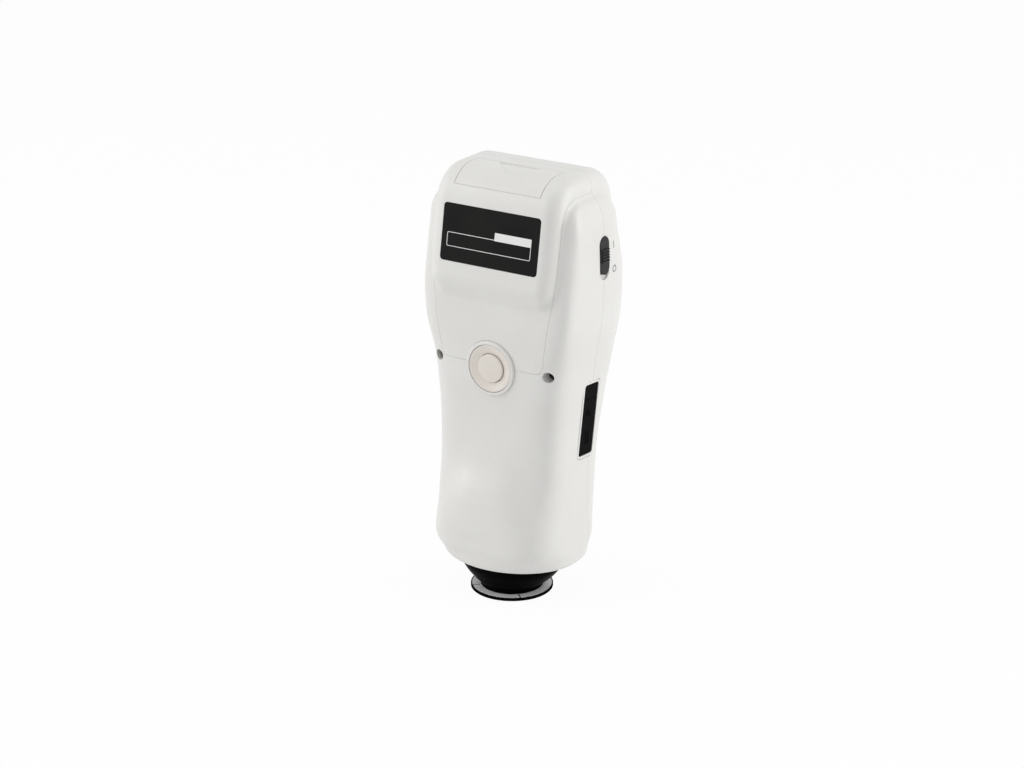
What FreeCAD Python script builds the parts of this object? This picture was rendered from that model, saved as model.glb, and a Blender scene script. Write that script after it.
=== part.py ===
import FreeCAD
import Part
import math
import os
from FreeCAD import Vector

# Frame: +Z up, the screen faces -Y, the hump faces +Y, origin on the measuring axis at the foot.
# All sizes are in mm.

# Moulded housing
TOTAL_HEIGHT = 230.4
HEAD_HEIGHT = 100.4
HEAD_Z = TOTAL_HEIGHT - HEAD_HEIGHT
WALL = 2.4
SEAM_Y = -16.0
SEAM_GAP = 0.12
FOOT_Z = 20.0
FOOT_ROUND = 2.0
BELLY_Z = 52.0
WAIST_Z = HEAD_Z - 26.0
# Each station: height, half width, back, front, power of the rounded back corners and of the front corners
RIM_STATION = (FOOT_Z, 38.3, 31.0, -31.8, 2.0, 2.7)
FOOT_STATION = (34.0, 38.2, 31.0, -32.2, 3.4, 4.0)
BELLY_STATION = (BELLY_Z, 37.4, 27.4, -34.8, 3.6, 4.0)
GRIP_STATION = ((BELLY_Z + WAIST_Z) / 2, 37.5, 21.0, -36.6, 4.4, 4.2)
WAIST_STATION = (WAIST_Z, 38.5, 19.8, -41.2, 4.7, 4.6)
NECK_STATION = (HEAD_Z, 41.0, 20.0, -45.8, 5.4, 5.0)
JAW_STATION = (HEAD_Z + 22.0, 44.6, 20.2, -47.6, 8.0, 5.2)
CHEEK_STATION = (HEAD_Z + 45.0, 45.9, 17.6, -46.6, 9.0, 5.2)
SHOULDER_STATION = (HEAD_Z + 70.0, 45.2, 13.4, -40.8, 9.0, 5.0)
STATIONS = [RIM_STATION, FOOT_STATION, BELLY_STATION, GRIP_STATION, WAIST_STATION, NECK_STATION, JAW_STATION,
            CHEEK_STATION, SHOULDER_STATION]
# The swell of the lower back over the stations: height, extra depth in the middle, half width
SWELL_ROWS = [(34.0, 0.0, 36.0), (43.0, 1.4, 36.0), (52.0, 3.2, 34.0), (58.0, 4.2, 30.0), (63.0, 4.3, 27.0),
              (67.0, 3.6, 25.0), (72.0, 2.3, 24.0), (78.0, 1.3, 24.0), (86.0, 0.4, 24.0), (96.0, 0.0, 24.0)]
SWELL_POWER = 3.0
CHEEK_TOP_Z = TOTAL_HEIGHT - 11.9
CHEEK_TOP_HALF = 37.2
CHEEK_TOP_BACK = 1.0
CHEEK_TOP_FRONT = -25.6
FOOT_CENTRE_Y = -1.8
HEAD_CENTRE_Y = -9.3

# Head block: the hump at the back and the screen panel at the front
BLOCK_HALF = 37.7
BLOCK_TAPER_Z = HEAD_Z + 50.0
BLOCK_TAPER = 0.154
BLOCK_ROUND = 8.0
BLOCK_LOW_Z = HEAD_Z - 31.0
HUMP_LOW = (24.4, HEAD_Z + 44.0)
HUMP_ROOT = (16.0, HEAD_Z + 27.5)
HUMP_LOW_ROUND = 9.0
HUMP_LEAN = 0.1657
TOP_BACK_ROUND = 20.3
TOP_FRONT_ROUND = 20.5
CHIN = (-53.35, HEAD_Z + 19.3)
CHIN_ROUND = 12.0
SCREEN_LEAN = 0.1984
KEYPAD_LEAN = 0.1606
KEYPAD_LOW_Z = HEAD_Z - 22.0
KEYPAD_LOW_ROUND = 9.0
KEYPAD_ROOT = (-36.0, BLOCK_LOW_Z)

# Rear upper cover
COVER_LOW_Z = HEAD_Z + 0.6
COVER_CORNER = 4.0
HUMP_ROOT_ROUND = 4.0
TAB_X = 22.0
TAB_WIDTH = 8.0
TAB_DROP = 5.0
TAB_THICK = 1.6
TAB_GAP = 0.3

# Battery door on the top of the cover
DOOR_HALF = 25.8
DOOR_LOW_Z = TOTAL_HEIGHT - 8.1
DOOR_FRONT_Y = -8.0
DOOR_FRONT_THICK = 3.6
DOOR_SKIN = 2.0
DOOR_RIM = 2.4
DOOR_GAP = 0.3
SEAT_THICK = 1.8
SEAT_MARGIN = 3.0
ARROW_WIDTH = 24.0
ARROW_LENGTH = 12.3
ARROW_DEPTH = 0.5
ARROW_MARGIN = 0.9
TONGUE_WIDTH = 12.0
TONGUE_LENGTH = 2.5
TONGUE_THICK = 1.0

# Data plate
PLATE_WIDTH = 58.4
PLATE_HEIGHT = 29.7
PLATE_THICK = 0.4
PLATE_POCKET = 0.3
PLATE_CORNER = 2.0
PLATE_LOW_Z = HEAD_Z + 53.4
PLATE_GAP = 0.1

# Test button
BUTTON_Z = HEAD_Z - 1.0
BEZEL_R = 14.6
BEZEL_PROUD = 1.3
BEZEL_BARREL_R = 13.6
BEZEL_BORE_R = 12.9
BEZEL_LIP_R = 10.8
BEZEL_DEEP = 5.0
RING_GAP = 0.2
RING_BORE_R = 7.8
RING_DISH = 1.4
CAP_GAP = 0.3
CAP_DOME = 0.4
BUTTON_TRAVEL = 1.2
STEM_R = 3.2
STEM_BORE_R = 2.0
STEM_LENGTH = 2.0
PLUNGER_R = 1.6
SPOT_DEPTH = 0.2
FLANGE_R = 9.2
FLANGE_THICK = 1.0

# Case screws
SCREW_X = 33.3
SCREW_Z = HEAD_Z - 0.5
WELL_R = 2.9
WELL_WALL = 1.4
SCREW_SEAT_Y = 10.0
SCREW_HEAD_R = 2.7
SCREW_HEAD_H = 2.2
SCREW_R = 1.45
SCREW_BORE_R = 1.5
SCREW_CLEAR_R = 1.8
SCREW_TIP_Y = -28.0
POST_R = 3.4
POST_BORE_END_Y = -30.0

# Power switch on the -X side
SWITCH_Z = HEAD_Z + 56.5
SWITCH_SLOT_WIDTH = 8.9
SWITCH_SLOT_LENGTH = 23.2
SWITCH_POCKET = 1.5
SWITCH_TRAVEL = 2.6
SWITCH_GAP = 0.25
KNOB_PROUD = 1.3
KNOB_RIBS = 5
KNOB_RIB_PITCH = 1.5
SLIT_WIDTH = 3.2
SLIT_LENGTH = 8.0
LEVER_WIDTH = 2.4
LEVER_LENGTH = 4.4
SWITCH_BODY = (8.0, 17.0, 6.0)

# Port recess on the -X side
PORT_Z = HEAD_Z - 32.0
PORT_Y = -14.1
PORT_LEAN = 0.085
PORT_WIDTH = 13.0
PORT_LENGTH = 38.8
PORT_CORNER = 1.6
PORT_RIM = 1.3
PORT_PROUD = 0.25
PORT_DEPTH = 3.4
PORT_FLOOR = 1.2
PORT_GAP = 0.25
COVER_THICK = 2.2
CREASE_FROM_TOP = 8.0
CREASE_GAP = 0.3
DC_V = 4.0
USB_V = -9.0
DC_BLOCK = (9.0, 9.0, 11.0)
DC_BORE_R = 2.0
DC_PIN_R = 0.65
DC_DEEP = 8.5
USB_BLOCK = (6.0, 8.2, 9.0)
USB_MOUTH = (3.1, 6.9)
USB_DEEP = 7.0
USB_TONGUE = (0.9, 4.6, 5.0)
PORT_BOARD_THICK = 1.6

# Display
WINDOW_Z = HEAD_Z + 53.0
WINDOW_WIDTH = 58.0
WINDOW_HEIGHT = 50.0
WINDOW_THICK = 1.5
WINDOW_CORNER = 3.0
WINDOW_GAP = 0.2
VIEW_WIDTH = 50.0
VIEW_HEIGHT = 42.0
GASKET_THICK = 0.6
GASKET_RIM = 2.0
MODULE_WIDTH = 55.0
MODULE_HEIGHT = 47.0
MODULE_THICK = 4.0

# Keys
KEYPAD_Z = HEAD_Z - 0.5
KEY_WIDTH = 12.0
KEY_HEIGHT = 7.6
KEY_CORNER = 3.0
KEY_PROUD = 1.2
KEY_GAP = 0.25
KEY_TRAVEL = 0.8
KEY_FLANGE = 1.2
KEY_FLANGE_THICK = 0.8
KEY_COLUMN = 16.0
KEY_ROW = 10.5
MEMBRANE_THICK = 0.8
DOME_R = 3.0
DOME_H = 0.6
KEY_BOARD_THICK = 1.6
KEY_BOARD_WIDTH = 47.0
KEY_BOARD_HEIGHT = 31.0
KEY_POST_X = 19.0
KEY_POST_V = 12.5
KEY_POST_R = 1.8

# Boards and battery
BOARD_THICK = 1.6
MAIN_BOARD_HALF = 27.0
MAIN_BOARD_BACK_Y = -24.4
MAIN_BOARD_LOW_Z = 66.0
MAIN_BOARD_HIGH_Z = HEAD_Z + 74.0
BOARD_POST_X = 22.5
BOARD_POST_LOW_Z = MAIN_BOARD_LOW_Z + 18.0
BOARD_POST_HIGH_Z = HEAD_Z + 20.5
BOARD_POST_R = 2.6
BOARD_SCREW_R = 1.0
BOARD_SCREW_HEAD_R = 2.0
BOARD_SCREW_HEAD_H = 1.2
BOARD_SCREW_LENGTH = 5.0
CHIP_SIZES = ((0.0, HEAD_Z - 18.0, 14.0, 14.0), (12.0, HEAD_Z + 42.0, 9.0, 12.0),
              (-10.0, HEAD_Z + 56.0, 10.0, 7.0),
              (8.0, MAIN_BOARD_LOW_Z + 12.0, 8.0, 6.0))
CHIP_HEIGHT = 1.4
SOUNDER_R = 4.5
SOUNDER_H = 4.0
SOUNDER_XZ = (-14.0, HEAD_Z + 34.0)
BUTTON_BOARD_HALF = 12.0
BUTTON_BOARD_LOW_Z = HEAD_Z - 20.0
BUTTON_BOARD_HIGH_Z = HEAD_Z + 7.0
BUTTON_BOSS_X = 9.0
BUTTON_BOSS_Z = HEAD_Z - 17.5
BUTTON_BOSS_R = 2.2
BUTTON_SWITCH = (6.2, 6.2, 2.0)
BATTERY_WIDTH = 42.0
BATTERY_DEPTH = 13.0
BATTERY_HEIGHT = 50.0
BATTERY_ROUND = 4.0
BATTERY_Y = 1.5
BATTERY_LOW_Z = HEAD_Z + 37.5
TRAY_WALL = 1.5
TRAY_GAP = 0.4
CONTACT_WIDTH = 3.0
CONTACT_PITCH = 9.0
CONTACT_RISE = 1.5

# Nose and optics
NOSE_HOLE_R = 23.6
NOSE_GAP = 0.2
NOSE_LOW_R = 16.8
NOSE_BAND_Z = 3.6
NOSE_RIM = (29.4, 24.6, -24.2)
NOSE_BULGE = 0.95
NOSE_WALL = 2.2
LOCATOR_R = 21.3
LOCATOR_THICK = 0.8
LOCATOR_HOLE_R = 5.5
LOCATOR_LINE_WIDTH = 0.7
LOCATOR_LINE_LENGTH = 4.2
LOCATOR_LINE_DEPTH = 0.3
LOCATOR_LINE_TURN = 45.0
FOOT_RING_R = 22.0
FOOT_RING_BORE_R = 9.5
FOOT_RING_THICK = 1.0
FOOT_RING_LIP = 0.7
BASE_R = 25.2
BASE_THICK = 3.0
BASE_EAR_X = 29.0
BASE_EAR_HALF_Y = 9.0
SPHERE_Z = 52.0
SPHERE_R = 20.5
SPHERE_WALL = 2.0
SPHERE_FLANGE_R = 23.4
SPHERE_FLANGE_THICK = 2.0
SPHERE_COLLAR_R = 14.0
SPHERE_NECK_R = 9.5
SPHERE_PORT_R = 6.5
NECK_LOW_Z = 3.2
SPHERE_SCREW_CIRCLE = 21.9
SPHERE_SCREW_R = 0.9
SPHERE_SCREW_HEAD_R = 1.4
VIEW_TILT = 8.0
VIEW_BOSS_R = 7.5
VIEW_BOSS_END = 23.0
VIEW_PORT_R = 3.0
BARREL_R = 7.0
BARREL_BORE_R = 5.2
BARREL_LENGTH = 17.0
LENS_R = 5.15
LENS_OFFSET = 6.0
LENS_EDGE = 1.6
LENS_BULGE = 1.2
SENSOR_BLOCK = (22.0, 18.0, 12.0)
SENSOR_BOARD = (26.0, 22.0, 1.6)
LAMP_ANGLE = 40.0
LAMP_BOSS_R = 5.5
LAMP_PORT_R = 3.0
LAMP_BOARD = (15.0, 15.0, 1.6)
LAMP_R = 2.4
LAMP_LENGTH = 4.0

EXTENT = 300.0


def block(x0, x1, y0, y1, z0, z1):
    """Return a box between two corners."""
    return Part.makeBox(x1 - x0, y1 - y0, z1 - z0, Vector(x0, y0, z0))


def rod(radius, start, end):
    """Return a cylinder between two points."""
    way = end - start
    return Part.makeCylinder(radius, way.Length, start, way)


def local_frame(origin, up, normal):
    """Return the placement of a frame with local Y along up and local Z along the normal."""
    side = up.cross(normal)
    matrix = FreeCAD.Matrix(side.x, up.x, normal.x, origin.x,
                            side.y, up.y, normal.y, origin.y,
                            side.z, up.z, normal.z, origin.z,
                            0, 0, 0, 1)
    return FreeCAD.Placement(matrix)


def placed(shape, placement):
    """Return the shape moved by a placement."""
    moved = shape.copy()
    moved.Placement = placement.multiply(moved.Placement)
    return moved


def panel(width, height, corner, low, high, centre=(0.0, 0.0)):
    """Return a plate with rounded corners, centred in local X and Y, between two local heights."""
    wire = rounded_wire([(-width / 2, -height / 2, corner), (width / 2, -height / 2, corner),
                         (width / 2, height / 2, corner), (-width / 2, height / 2, corner)])
    plate = Part.Face(wire).extrude(Vector(0, 0, high - low))
    plate.translate(Vector(centre[0], centre[1], low))
    return plate


def rounded_wire(corners, lift=lambda a, b: Vector(a, b, 0)):
    """Return a closed wire through corners given as two coordinates and a rounding radius."""
    count = len(corners)
    starts = []
    ends = []
    middles = []
    for index in range(count):
        ax, ay, _ = corners[index - 1]
        px, py, radius = corners[index]
        bx, by, _ = corners[(index + 1) % count]
        to_a = Vector(ax - px, ay - py, 0).normalize()
        to_b = Vector(bx - px, by - py, 0).normalize()
        point = Vector(px, py, 0)
        if radius <= 0:
            starts.append(point)
            ends.append(point)
            middles.append(None)
            continue
        half = to_a.getAngle(to_b) / 2
        reach = radius / math.tan(half)
        bisector = (to_a + to_b).normalize()
        centre = point + bisector * (radius / math.sin(half))
        starts.append(point + to_a * reach)
        ends.append(point + to_b * reach)
        middles.append(centre - bisector * radius)
    edges = []
    for index in range(count):
        begin = lift(starts[index].x, starts[index].y)
        finish = lift(ends[index].x, ends[index].y)
        if middles[index] is not None:
            middle = lift(middles[index].x, middles[index].y)
            edges.append(Part.Arc(begin, middle, finish).toShape())
        following = starts[(index + 1) % count]
        nxt = lift(following.x, following.y)
        if (nxt - finish).Length > 1e-6:
            edges.append(Part.makeLine(finish, nxt))
    return Part.Wire(edges)


def inset_corners(corners, inset):
    """Return an anticlockwise outline moved inwards, with its outer roundings reduced by as much."""
    count = len(corners)
    lines = []
    for index in range(count):
        ax, ay, _ = corners[index]
        bx, by, _ = corners[(index + 1) % count]
        way = Vector(bx - ax, by - ay, 0).normalize()
        inward = Vector(-way.y, way.x, 0)
        lines.append((Vector(ax, ay, 0) + inward * inset, way))
    moved = []
    for index in range(count):
        p, d = lines[index - 1]
        q, e = lines[index]
        cross = d.x * e.y - d.y * e.x
        along = ((q.x - p.x) * e.y - (q.y - p.y) * e.x) / cross
        meet = p + d * along
        radius = corners[index][2]
        moved.append((meet.x, meet.y, max(radius - inset, 0.0) if radius else 0.0))
    return moved


def station_value(height, column):
    """Return one body measure at a height."""
    return smooth_value(STATIONS, height, column)


def smooth_value(rows, height, column):
    """Return one column of a table at a height, on a smooth curve through its rows that doesn't overshoot."""
    heights = [row[0] for row in rows]
    values = [row[column] for row in rows]
    if height <= heights[0]:
        return values[0]
    if height >= heights[-1]:
        return values[-1]
    steps = [(values[i + 1] - values[i]) / (heights[i + 1] - heights[i]) for i in range(len(values) - 1)]
    slopes = [0.0]
    for before, after in zip(steps, steps[1:]):
        slopes.append(0.0 if before * after <= 0 else 2 * before * after / (before + after))
    slopes.append(steps[-1])
    index = max(i for i in range(len(steps)) if heights[i] <= height)
    span = heights[index + 1] - heights[index]
    t = (height - heights[index]) / span
    return ((2 * t ** 3 - 3 * t ** 2 + 1) * values[index] + (t ** 3 - 2 * t ** 2 + t) * span * slopes[index]
            + (3 * t ** 2 - 2 * t ** 3) * values[index + 1] + (t ** 3 - t ** 2) * span * slopes[index + 1])


def section_centre(height):
    """Return the Y at which the body is widest at a height."""
    share = (NECK_STATION[0] - height) / (NECK_STATION[0] - FOOT_STATION[0])
    return HEAD_CENTRE_Y + (FOOT_CENTRE_Y - HEAD_CENTRE_Y) * min(max(share, 0.0), 1.0)


def section(height, centre, half, back, front, back_power, front_power, swell=0.0, swell_half=1.0):
    """Return one closed section, widest at a Y, fuller than an ellipse and swollen at the back."""
    points = []
    steps = 48
    for index in range(steps):
        angle = 2 * math.pi * index / steps - math.pi / 2
        across, along = math.cos(angle), math.sin(angle)
        bend = back_power if along > 0 else front_power
        depth = back - centre if along > 0 else centre - front
        reach = (abs(across / half) ** bend + abs(along / depth) ** bend) ** (-1 / bend)
        x = reach * across
        y = centre + reach * along
        if along > 0 and abs(x) < swell_half:
            y += swell * (1 - (abs(x) / swell_half) ** SWELL_POWER) ** 2
        points.append(Vector(x, y, height))
    curve = Part.BSplineCurve()
    curve.interpolate(Points=points, PeriodicFlag=True,
                      Parameters=[index / steps for index in range(steps + 1)])
    return Part.Wire([curve.toShape()])


def loft_heights():
    """Return the heights of the swell's rows and of the stations above it, lowest first."""
    swell_top = SWELL_ROWS[-1][0]
    above = [row[0] for row in STATIONS if row[0] > swell_top + FOOT_ROUND]
    return [row[0] for row in SWELL_ROWS] + above


def body_form(inset):
    """Return the lofted grip and cheeks, moved inwards by an inset."""
    def at(height, shrink):
        half, back, front, back_power, front_power = (station_value(height, column) for column in range(1, 6))
        swell, swell_half = (smooth_value(SWELL_ROWS, height, column) for column in (1, 2))
        return section(height, section_centre(height), half - shrink, back - shrink, front + shrink,
                       back_power, front_power, swell, swell_half)

    wires = []
    rounding = max(FOOT_ROUND - inset, FOOT_ROUND / 2)
    for degrees in (90, 72, 54, 36, 18, 0):
        angle = math.radians(degrees)
        height = FOOT_Z + inset + rounding * (1 - math.sin(angle))
        wires.append(at(height, inset + rounding * (1 - math.cos(angle))))
    heights = loft_heights()
    wires.append(at((FOOT_Z + inset + rounding + heights[0]) / 2, inset))
    for below, above in zip(heights, heights[1:]):
        wires.append(at(below, inset))
        wires.append(at((below + above) / 2, inset))
    wires.append(at(SHOULDER_STATION[0], inset))
    low, half, back, front, back_power, front_power = SHOULDER_STATION
    rise = CHEEK_TOP_Z - inset - low
    for share in (0.35, 0.6, 0.8, 0.92, 0.98, 1.0):
        roll = 1 - math.sqrt(1 - share * share)
        wires.append(section(low + rise * share, section_centre(low),
                             half - (half - CHEEK_TOP_HALF) * roll - inset,
                             back - (back - CHEEK_TOP_BACK) * roll - inset,
                             front - (front - CHEEK_TOP_FRONT) * roll + inset, back_power, front_power))
    return Part.makeLoft(wires, True, False)


def side_half(height):
    """Return the half width of the body at a height."""
    return station_value(height, 1)


def hump_face_y(height):
    """Return the Y of the hump's plate face at a height."""
    return HUMP_LOW[0] - HUMP_LEAN * (height - HUMP_LOW[1])


def screen_face_y(height):
    """Return the Y of the screen face at a height."""
    return CHIN[0] + SCREEN_LEAN * (height - CHIN[1])


def keypad_face_y(height):
    """Return the Y of the keypad face at a height."""
    return CHIN[0] + KEYPAD_LEAN * (CHIN[1] - height)


def block_corners():
    """Return the head block's side outline as Y, Z and rounding, anticlockwise seen from +X."""
    return [(HUMP_ROOT[0], HUMP_ROOT[1], 0.0),
            (HUMP_LOW[0], HUMP_LOW[1], HUMP_LOW_ROUND),
            (hump_face_y(TOTAL_HEIGHT), TOTAL_HEIGHT, TOP_BACK_ROUND),
            (screen_face_y(TOTAL_HEIGHT), TOTAL_HEIGHT, TOP_FRONT_ROUND),
            (CHIN[0], CHIN[1], CHIN_ROUND),
            (keypad_face_y(KEYPAD_LOW_Z), KEYPAD_LOW_Z, KEYPAD_LOW_ROUND),
            (KEYPAD_ROOT[0], KEYPAD_ROOT[1], 0.0),
            (SEAM_Y, BLOCK_LOW_Z, 0.0),
            (SEAM_Y, HUMP_ROOT[1], 0.0)]


def block_outline(half, low, corner):
    """Return the head block's back outline as X, Z and rounding, straight above and tapered below."""
    foot = half - BLOCK_TAPER * (BLOCK_TAPER_Z - low)
    high = TOTAL_HEIGHT + SEAT_MARGIN
    return [(-foot, low, corner), (foot, low, corner), (half, BLOCK_TAPER_Z, 4 * half), (half, high, 0.0),
            (-half, high, 0.0), (-half, BLOCK_TAPER_Z, 4 * half)]


def outline_prism(half, low, corner, y0, y1):
    """Return the back outline as a prism between two Y values."""
    wire = rounded_wire(block_outline(half, low, corner), lambda a, b: Vector(a, y0, b))
    return Part.Face(wire).extrude(Vector(0, y1 - y0, 0))


def head_block(inset):
    """Return the head block with its long edges rounded, moved inwards by an inset."""
    corners = block_corners()
    outer = inset_corners(corners, inset)
    lift = lambda a, b: Vector(-EXTENT / 2, a, b)
    prism = Part.Face(rounded_wire(outer, lift)).extrude(Vector(EXTENT, 0, 0))
    half = BLOCK_HALF - inset
    shape = prism.common(outline_prism(half, BLOCK_LOW_Z - WALL, 0.0, -EXTENT, EXTENT))
    edges = []
    for edge in shape.Edges:
        middle = edge.valueAt((edge.FirstParameter + edge.LastParameter) / 2)
        inside = HUMP_ROOT[0] - 2 * WALL > middle.y > KEYPAD_ROOT[0] + 2 * WALL and middle.z < HUMP_LOW[1]
        along_x = edge.BoundBox.XLength > half
        if not inside and not along_x and abs(middle.x) > half / 2:
            edges.append(edge)
    return shape.makeFillet(BLOCK_ROUND - inset, edges)


def groove_edges(shape, test):
    """Return the edges where the head block meets the lofted body and a test on the middle point holds."""
    loft = max(shape.Faces, key=lambda face: face.Area)
    found = []
    for edge in loft.Edges:
        middle = edge.valueAt((edge.FirstParameter + edge.LastParameter) / 2)
        if middle.z > FOOT_Z + FOOT_ROUND and not edge.isSeam(loft) and test(middle):
            found.append(edge)
    return found


def housing_outside():
    """Return the solid outer form with the hump blended into the back."""
    form = body_form(0.0).fuse(head_block(0.0))
    low = HUMP_LOW[1]
    form = form.makeFillet(HUMP_ROOT_ROUND, groove_edges(form, lambda p: p.z < low and p.y > 0))
    return form


def half_space(front):
    """Return a large box in front of or behind the seam, half the seam gap away from it."""
    if front:
        return block(-EXTENT, EXTENT, -EXTENT, SEAM_Y - SEAM_GAP / 2, -EXTENT, EXTENT)
    return block(-EXTENT, EXTENT, SEAM_Y + SEAM_GAP / 2, EXTENT, -EXTENT, EXTENT)


def tube_y(x, z, radius, y0, y1):
    """Return a rod along Y."""
    return rod(radius, Vector(x, y0, z), Vector(x, y1, z))


# Local frames of the faces that carry the small parts
def lean_frame(y, z, lean, outward):
    """Return the frame of a leaning face on the middle plane; lean is the change of Y with height."""
    up = Vector(0, lean, 1).normalize()
    normal = Vector(0, up.z, -up.y) * outward
    return local_frame(Vector(0, y, z), up, normal)


def side_frame(height, y, lean):
    """Return the frame of the -X side of the body at a height; lean is the move to the front with height."""
    step = 1.0
    slope = (side_half(height + step) - side_half(height - step)) / (2 * step)
    up = Vector(-slope, -lean, 1).normalize()
    normal = Vector(-1, 0, -slope).normalize()
    return local_frame(Vector(-side_half(height), y, height), up, normal)


PLATE_Z = PLATE_LOW_Z + PLATE_HEIGHT / 2
PLATE_FRAME = lean_frame(hump_face_y(PLATE_Z), PLATE_Z, -HUMP_LEAN, 1)
WINDOW_FRAME = lean_frame(screen_face_y(WINDOW_Z), WINDOW_Z, SCREEN_LEAN, -1)
KEYPAD_FRAME = lean_frame(keypad_face_y(KEYPAD_Z), KEYPAD_Z, -KEYPAD_LEAN, -1)
BUTTON_FRAME = lean_frame(station_value(BUTTON_Z, 2), BUTTON_Z, 0.0, 1)
SWITCH_FRAME = side_frame(SWITCH_Z, SEAM_Y, 0.0)
PORT_FRAME = side_frame(PORT_Z, PORT_Y, PORT_LEAN)
KEY_PLACES = {"menu_key": (-KEY_COLUMN, 0.0), "back_key": (KEY_COLUMN, 0.0), "enter_key": (0.0, 0.0),
              "up_key": (0.0, KEY_ROW), "down_key": (0.0, -KEY_ROW)}


def turned(points, placement=None):
    """Return the solid of revolution of a closed outline of radius and height about local Z."""
    edges = []
    for start, end in zip(points, points[1:] + points[:1]):
        edges.append(Part.makeLine(Vector(start[0], 0, start[1]), Vector(end[0], 0, end[1])))
    solid = Part.Face(Part.Wire(edges)).revolve(Vector(0, 0, 0), Vector(0, 0, 1), 360)
    return placed(solid, placement) if placement else solid


def local_rod(radius, low, high, frame, centre=(0.0, 0.0)):
    """Return a rod along a frame's normal."""
    return placed(rod(radius, Vector(centre[0], centre[1], low), Vector(centre[0], centre[1], high)), frame)


# Battery door
def door_low_y():
    """Return the Y of the door's lower edge on the rounded top of the hump."""
    interior = math.pi / 2 + math.atan(HUMP_LEAN)
    centre_y = hump_face_y(TOTAL_HEIGHT) - TOP_BACK_ROUND / math.tan(interior / 2)
    drop = DOOR_LOW_Z - (TOTAL_HEIGHT - TOP_BACK_ROUND)
    return centre_y + math.sqrt(TOP_BACK_ROUND ** 2 - drop ** 2)


def door_slope():
    """Return the fall of the door's underside for each millimetre towards the back."""
    front = TOTAL_HEIGHT - DOOR_FRONT_THICK
    return (front - DOOR_LOW_Z) / (door_low_y() - DOOR_FRONT_Y)


def door_plane_z(y, lower=0.0):
    """Return the height of the door's underside at a Y, or of a plane below it."""
    return DOOR_LOW_Z + door_slope() * (door_low_y() - y) - lower


def above_plane(half, y0, y1, lower, high):
    """Return the space above the door's underside plane, lowered by a distance, up to a height."""
    points = [Vector(-half, y0, door_plane_z(y0, lower)), Vector(-half, y1, door_plane_z(y1, lower)),
              Vector(-half, y1, high), Vector(-half, y0, high)]
    return Part.Face(Part.makePolygon(points + points[:1])).extrude(Vector(2 * half, 0, 0))


def tongue(grow):
    """Return the tongue at the door's front end, grown on all sides."""
    half = TONGUE_WIDTH / 2 + grow
    back = DOOR_FRONT_Y + WALL
    front = DOOR_FRONT_Y - TONGUE_LENGTH - grow
    top = TOTAL_HEIGHT - DOOR_FRONT_THICK + TONGUE_THICK + grow
    return above_plane(half, front, back, grow, top)


def battery_door():
    """Return the sliding battery door: a hollow wedge with an arrow recess and a tongue."""
    reach = door_low_y() + DOOR_RIM
    door = head_block(0.0).common(above_plane(DOOR_HALF, DOOR_FRONT_Y, reach, 0.0, EXTENT))
    pocket = head_block(DOOR_SKIN).common(above_plane(DOOR_HALF - DOOR_RIM, DOOR_FRONT_Y + DOOR_RIM,
                                                      reach - 3 * DOOR_RIM, DOOR_RIM, EXTENT))
    base_y = DOOR_FRONT_Y + ARROW_MARGIN
    corners = [Vector(-ARROW_WIDTH / 2, base_y, 0), Vector(ARROW_WIDTH / 2, base_y, 0),
               Vector(0, base_y + ARROW_LENGTH, 0)]
    arrow = Part.Face(Part.makePolygon(corners + corners[:1])).extrude(Vector(0, 0, EXTENT))
    arrow = arrow.cut(head_block(ARROW_DEPTH))
    return door.cut([pocket, arrow]).fuse(tongue(0.0).cut(block(-EXTENT, EXTENT, DOOR_FRONT_Y + DOOR_RIM / 2,
                                                              EXTENT, 0, EXTENT))).removeSplitter()


# Battery and its tray
def battery_box(grow, low, high):
    """Return the battery's space, grown sideways, between two heights."""
    half = BATTERY_WIDTH / 2 + grow
    deep = BATTERY_DEPTH / 2 + grow
    return block(-half, half, BATTERY_Y - deep, BATTERY_Y + deep, low, high)


TRAY_FLOOR_Z = BATTERY_LOW_Z - CONTACT_RISE


def battery_tray():
    """Return the open tray that hangs under the door seat."""
    tray = battery_box(TRAY_GAP + TRAY_WALL, TRAY_FLOOR_Z - TRAY_WALL, TOTAL_HEIGHT)
    inside = battery_box(TRAY_GAP, TRAY_FLOOR_Z, TOTAL_HEIGHT)
    above = above_plane(EXTENT, -EXTENT, EXTENT, SEAT_THICK + DOOR_GAP / 2, 2 * EXTENT)
    return tray.cut([inside, above])


def battery_pack():
    """Return the rounded battery pack."""
    pack = battery_box(0.0, BATTERY_LOW_Z, BATTERY_LOW_Z + BATTERY_HEIGHT)
    return pack.makeFillet(BATTERY_ROUND,
                           [edge for edge in pack.Edges if edge.BoundBox.ZLength > BATTERY_HEIGHT / 2])


def battery_contacts():
    """Return the three spring contacts between the tray floor and the pack."""
    strips = []
    for step in (-1, 0, 1):
        x = step * CONTACT_PITCH
        strips.append(block(x - CONTACT_WIDTH / 2, x + CONTACT_WIDTH / 2, BATTERY_Y - CONTACT_WIDTH,
                            BATTERY_Y + CONTACT_WIDTH, TRAY_FLOOR_Z, BATTERY_LOW_Z))
    return Part.makeCompound(strips)


# Housing nodes
def button_hole():
    """Return the space for the bezel: its barrel hole and the shallow seat of its flange."""
    barrel = local_rod(BEZEL_BARREL_R + RING_GAP, -4 * BEZEL_DEEP, BEZEL_DEEP, BUTTON_FRAME)
    seat = local_rod(BEZEL_R + RING_GAP, -SPOT_DEPTH, BEZEL_DEEP, BUTTON_FRAME)
    return barrel.fuse(seat)


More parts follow.
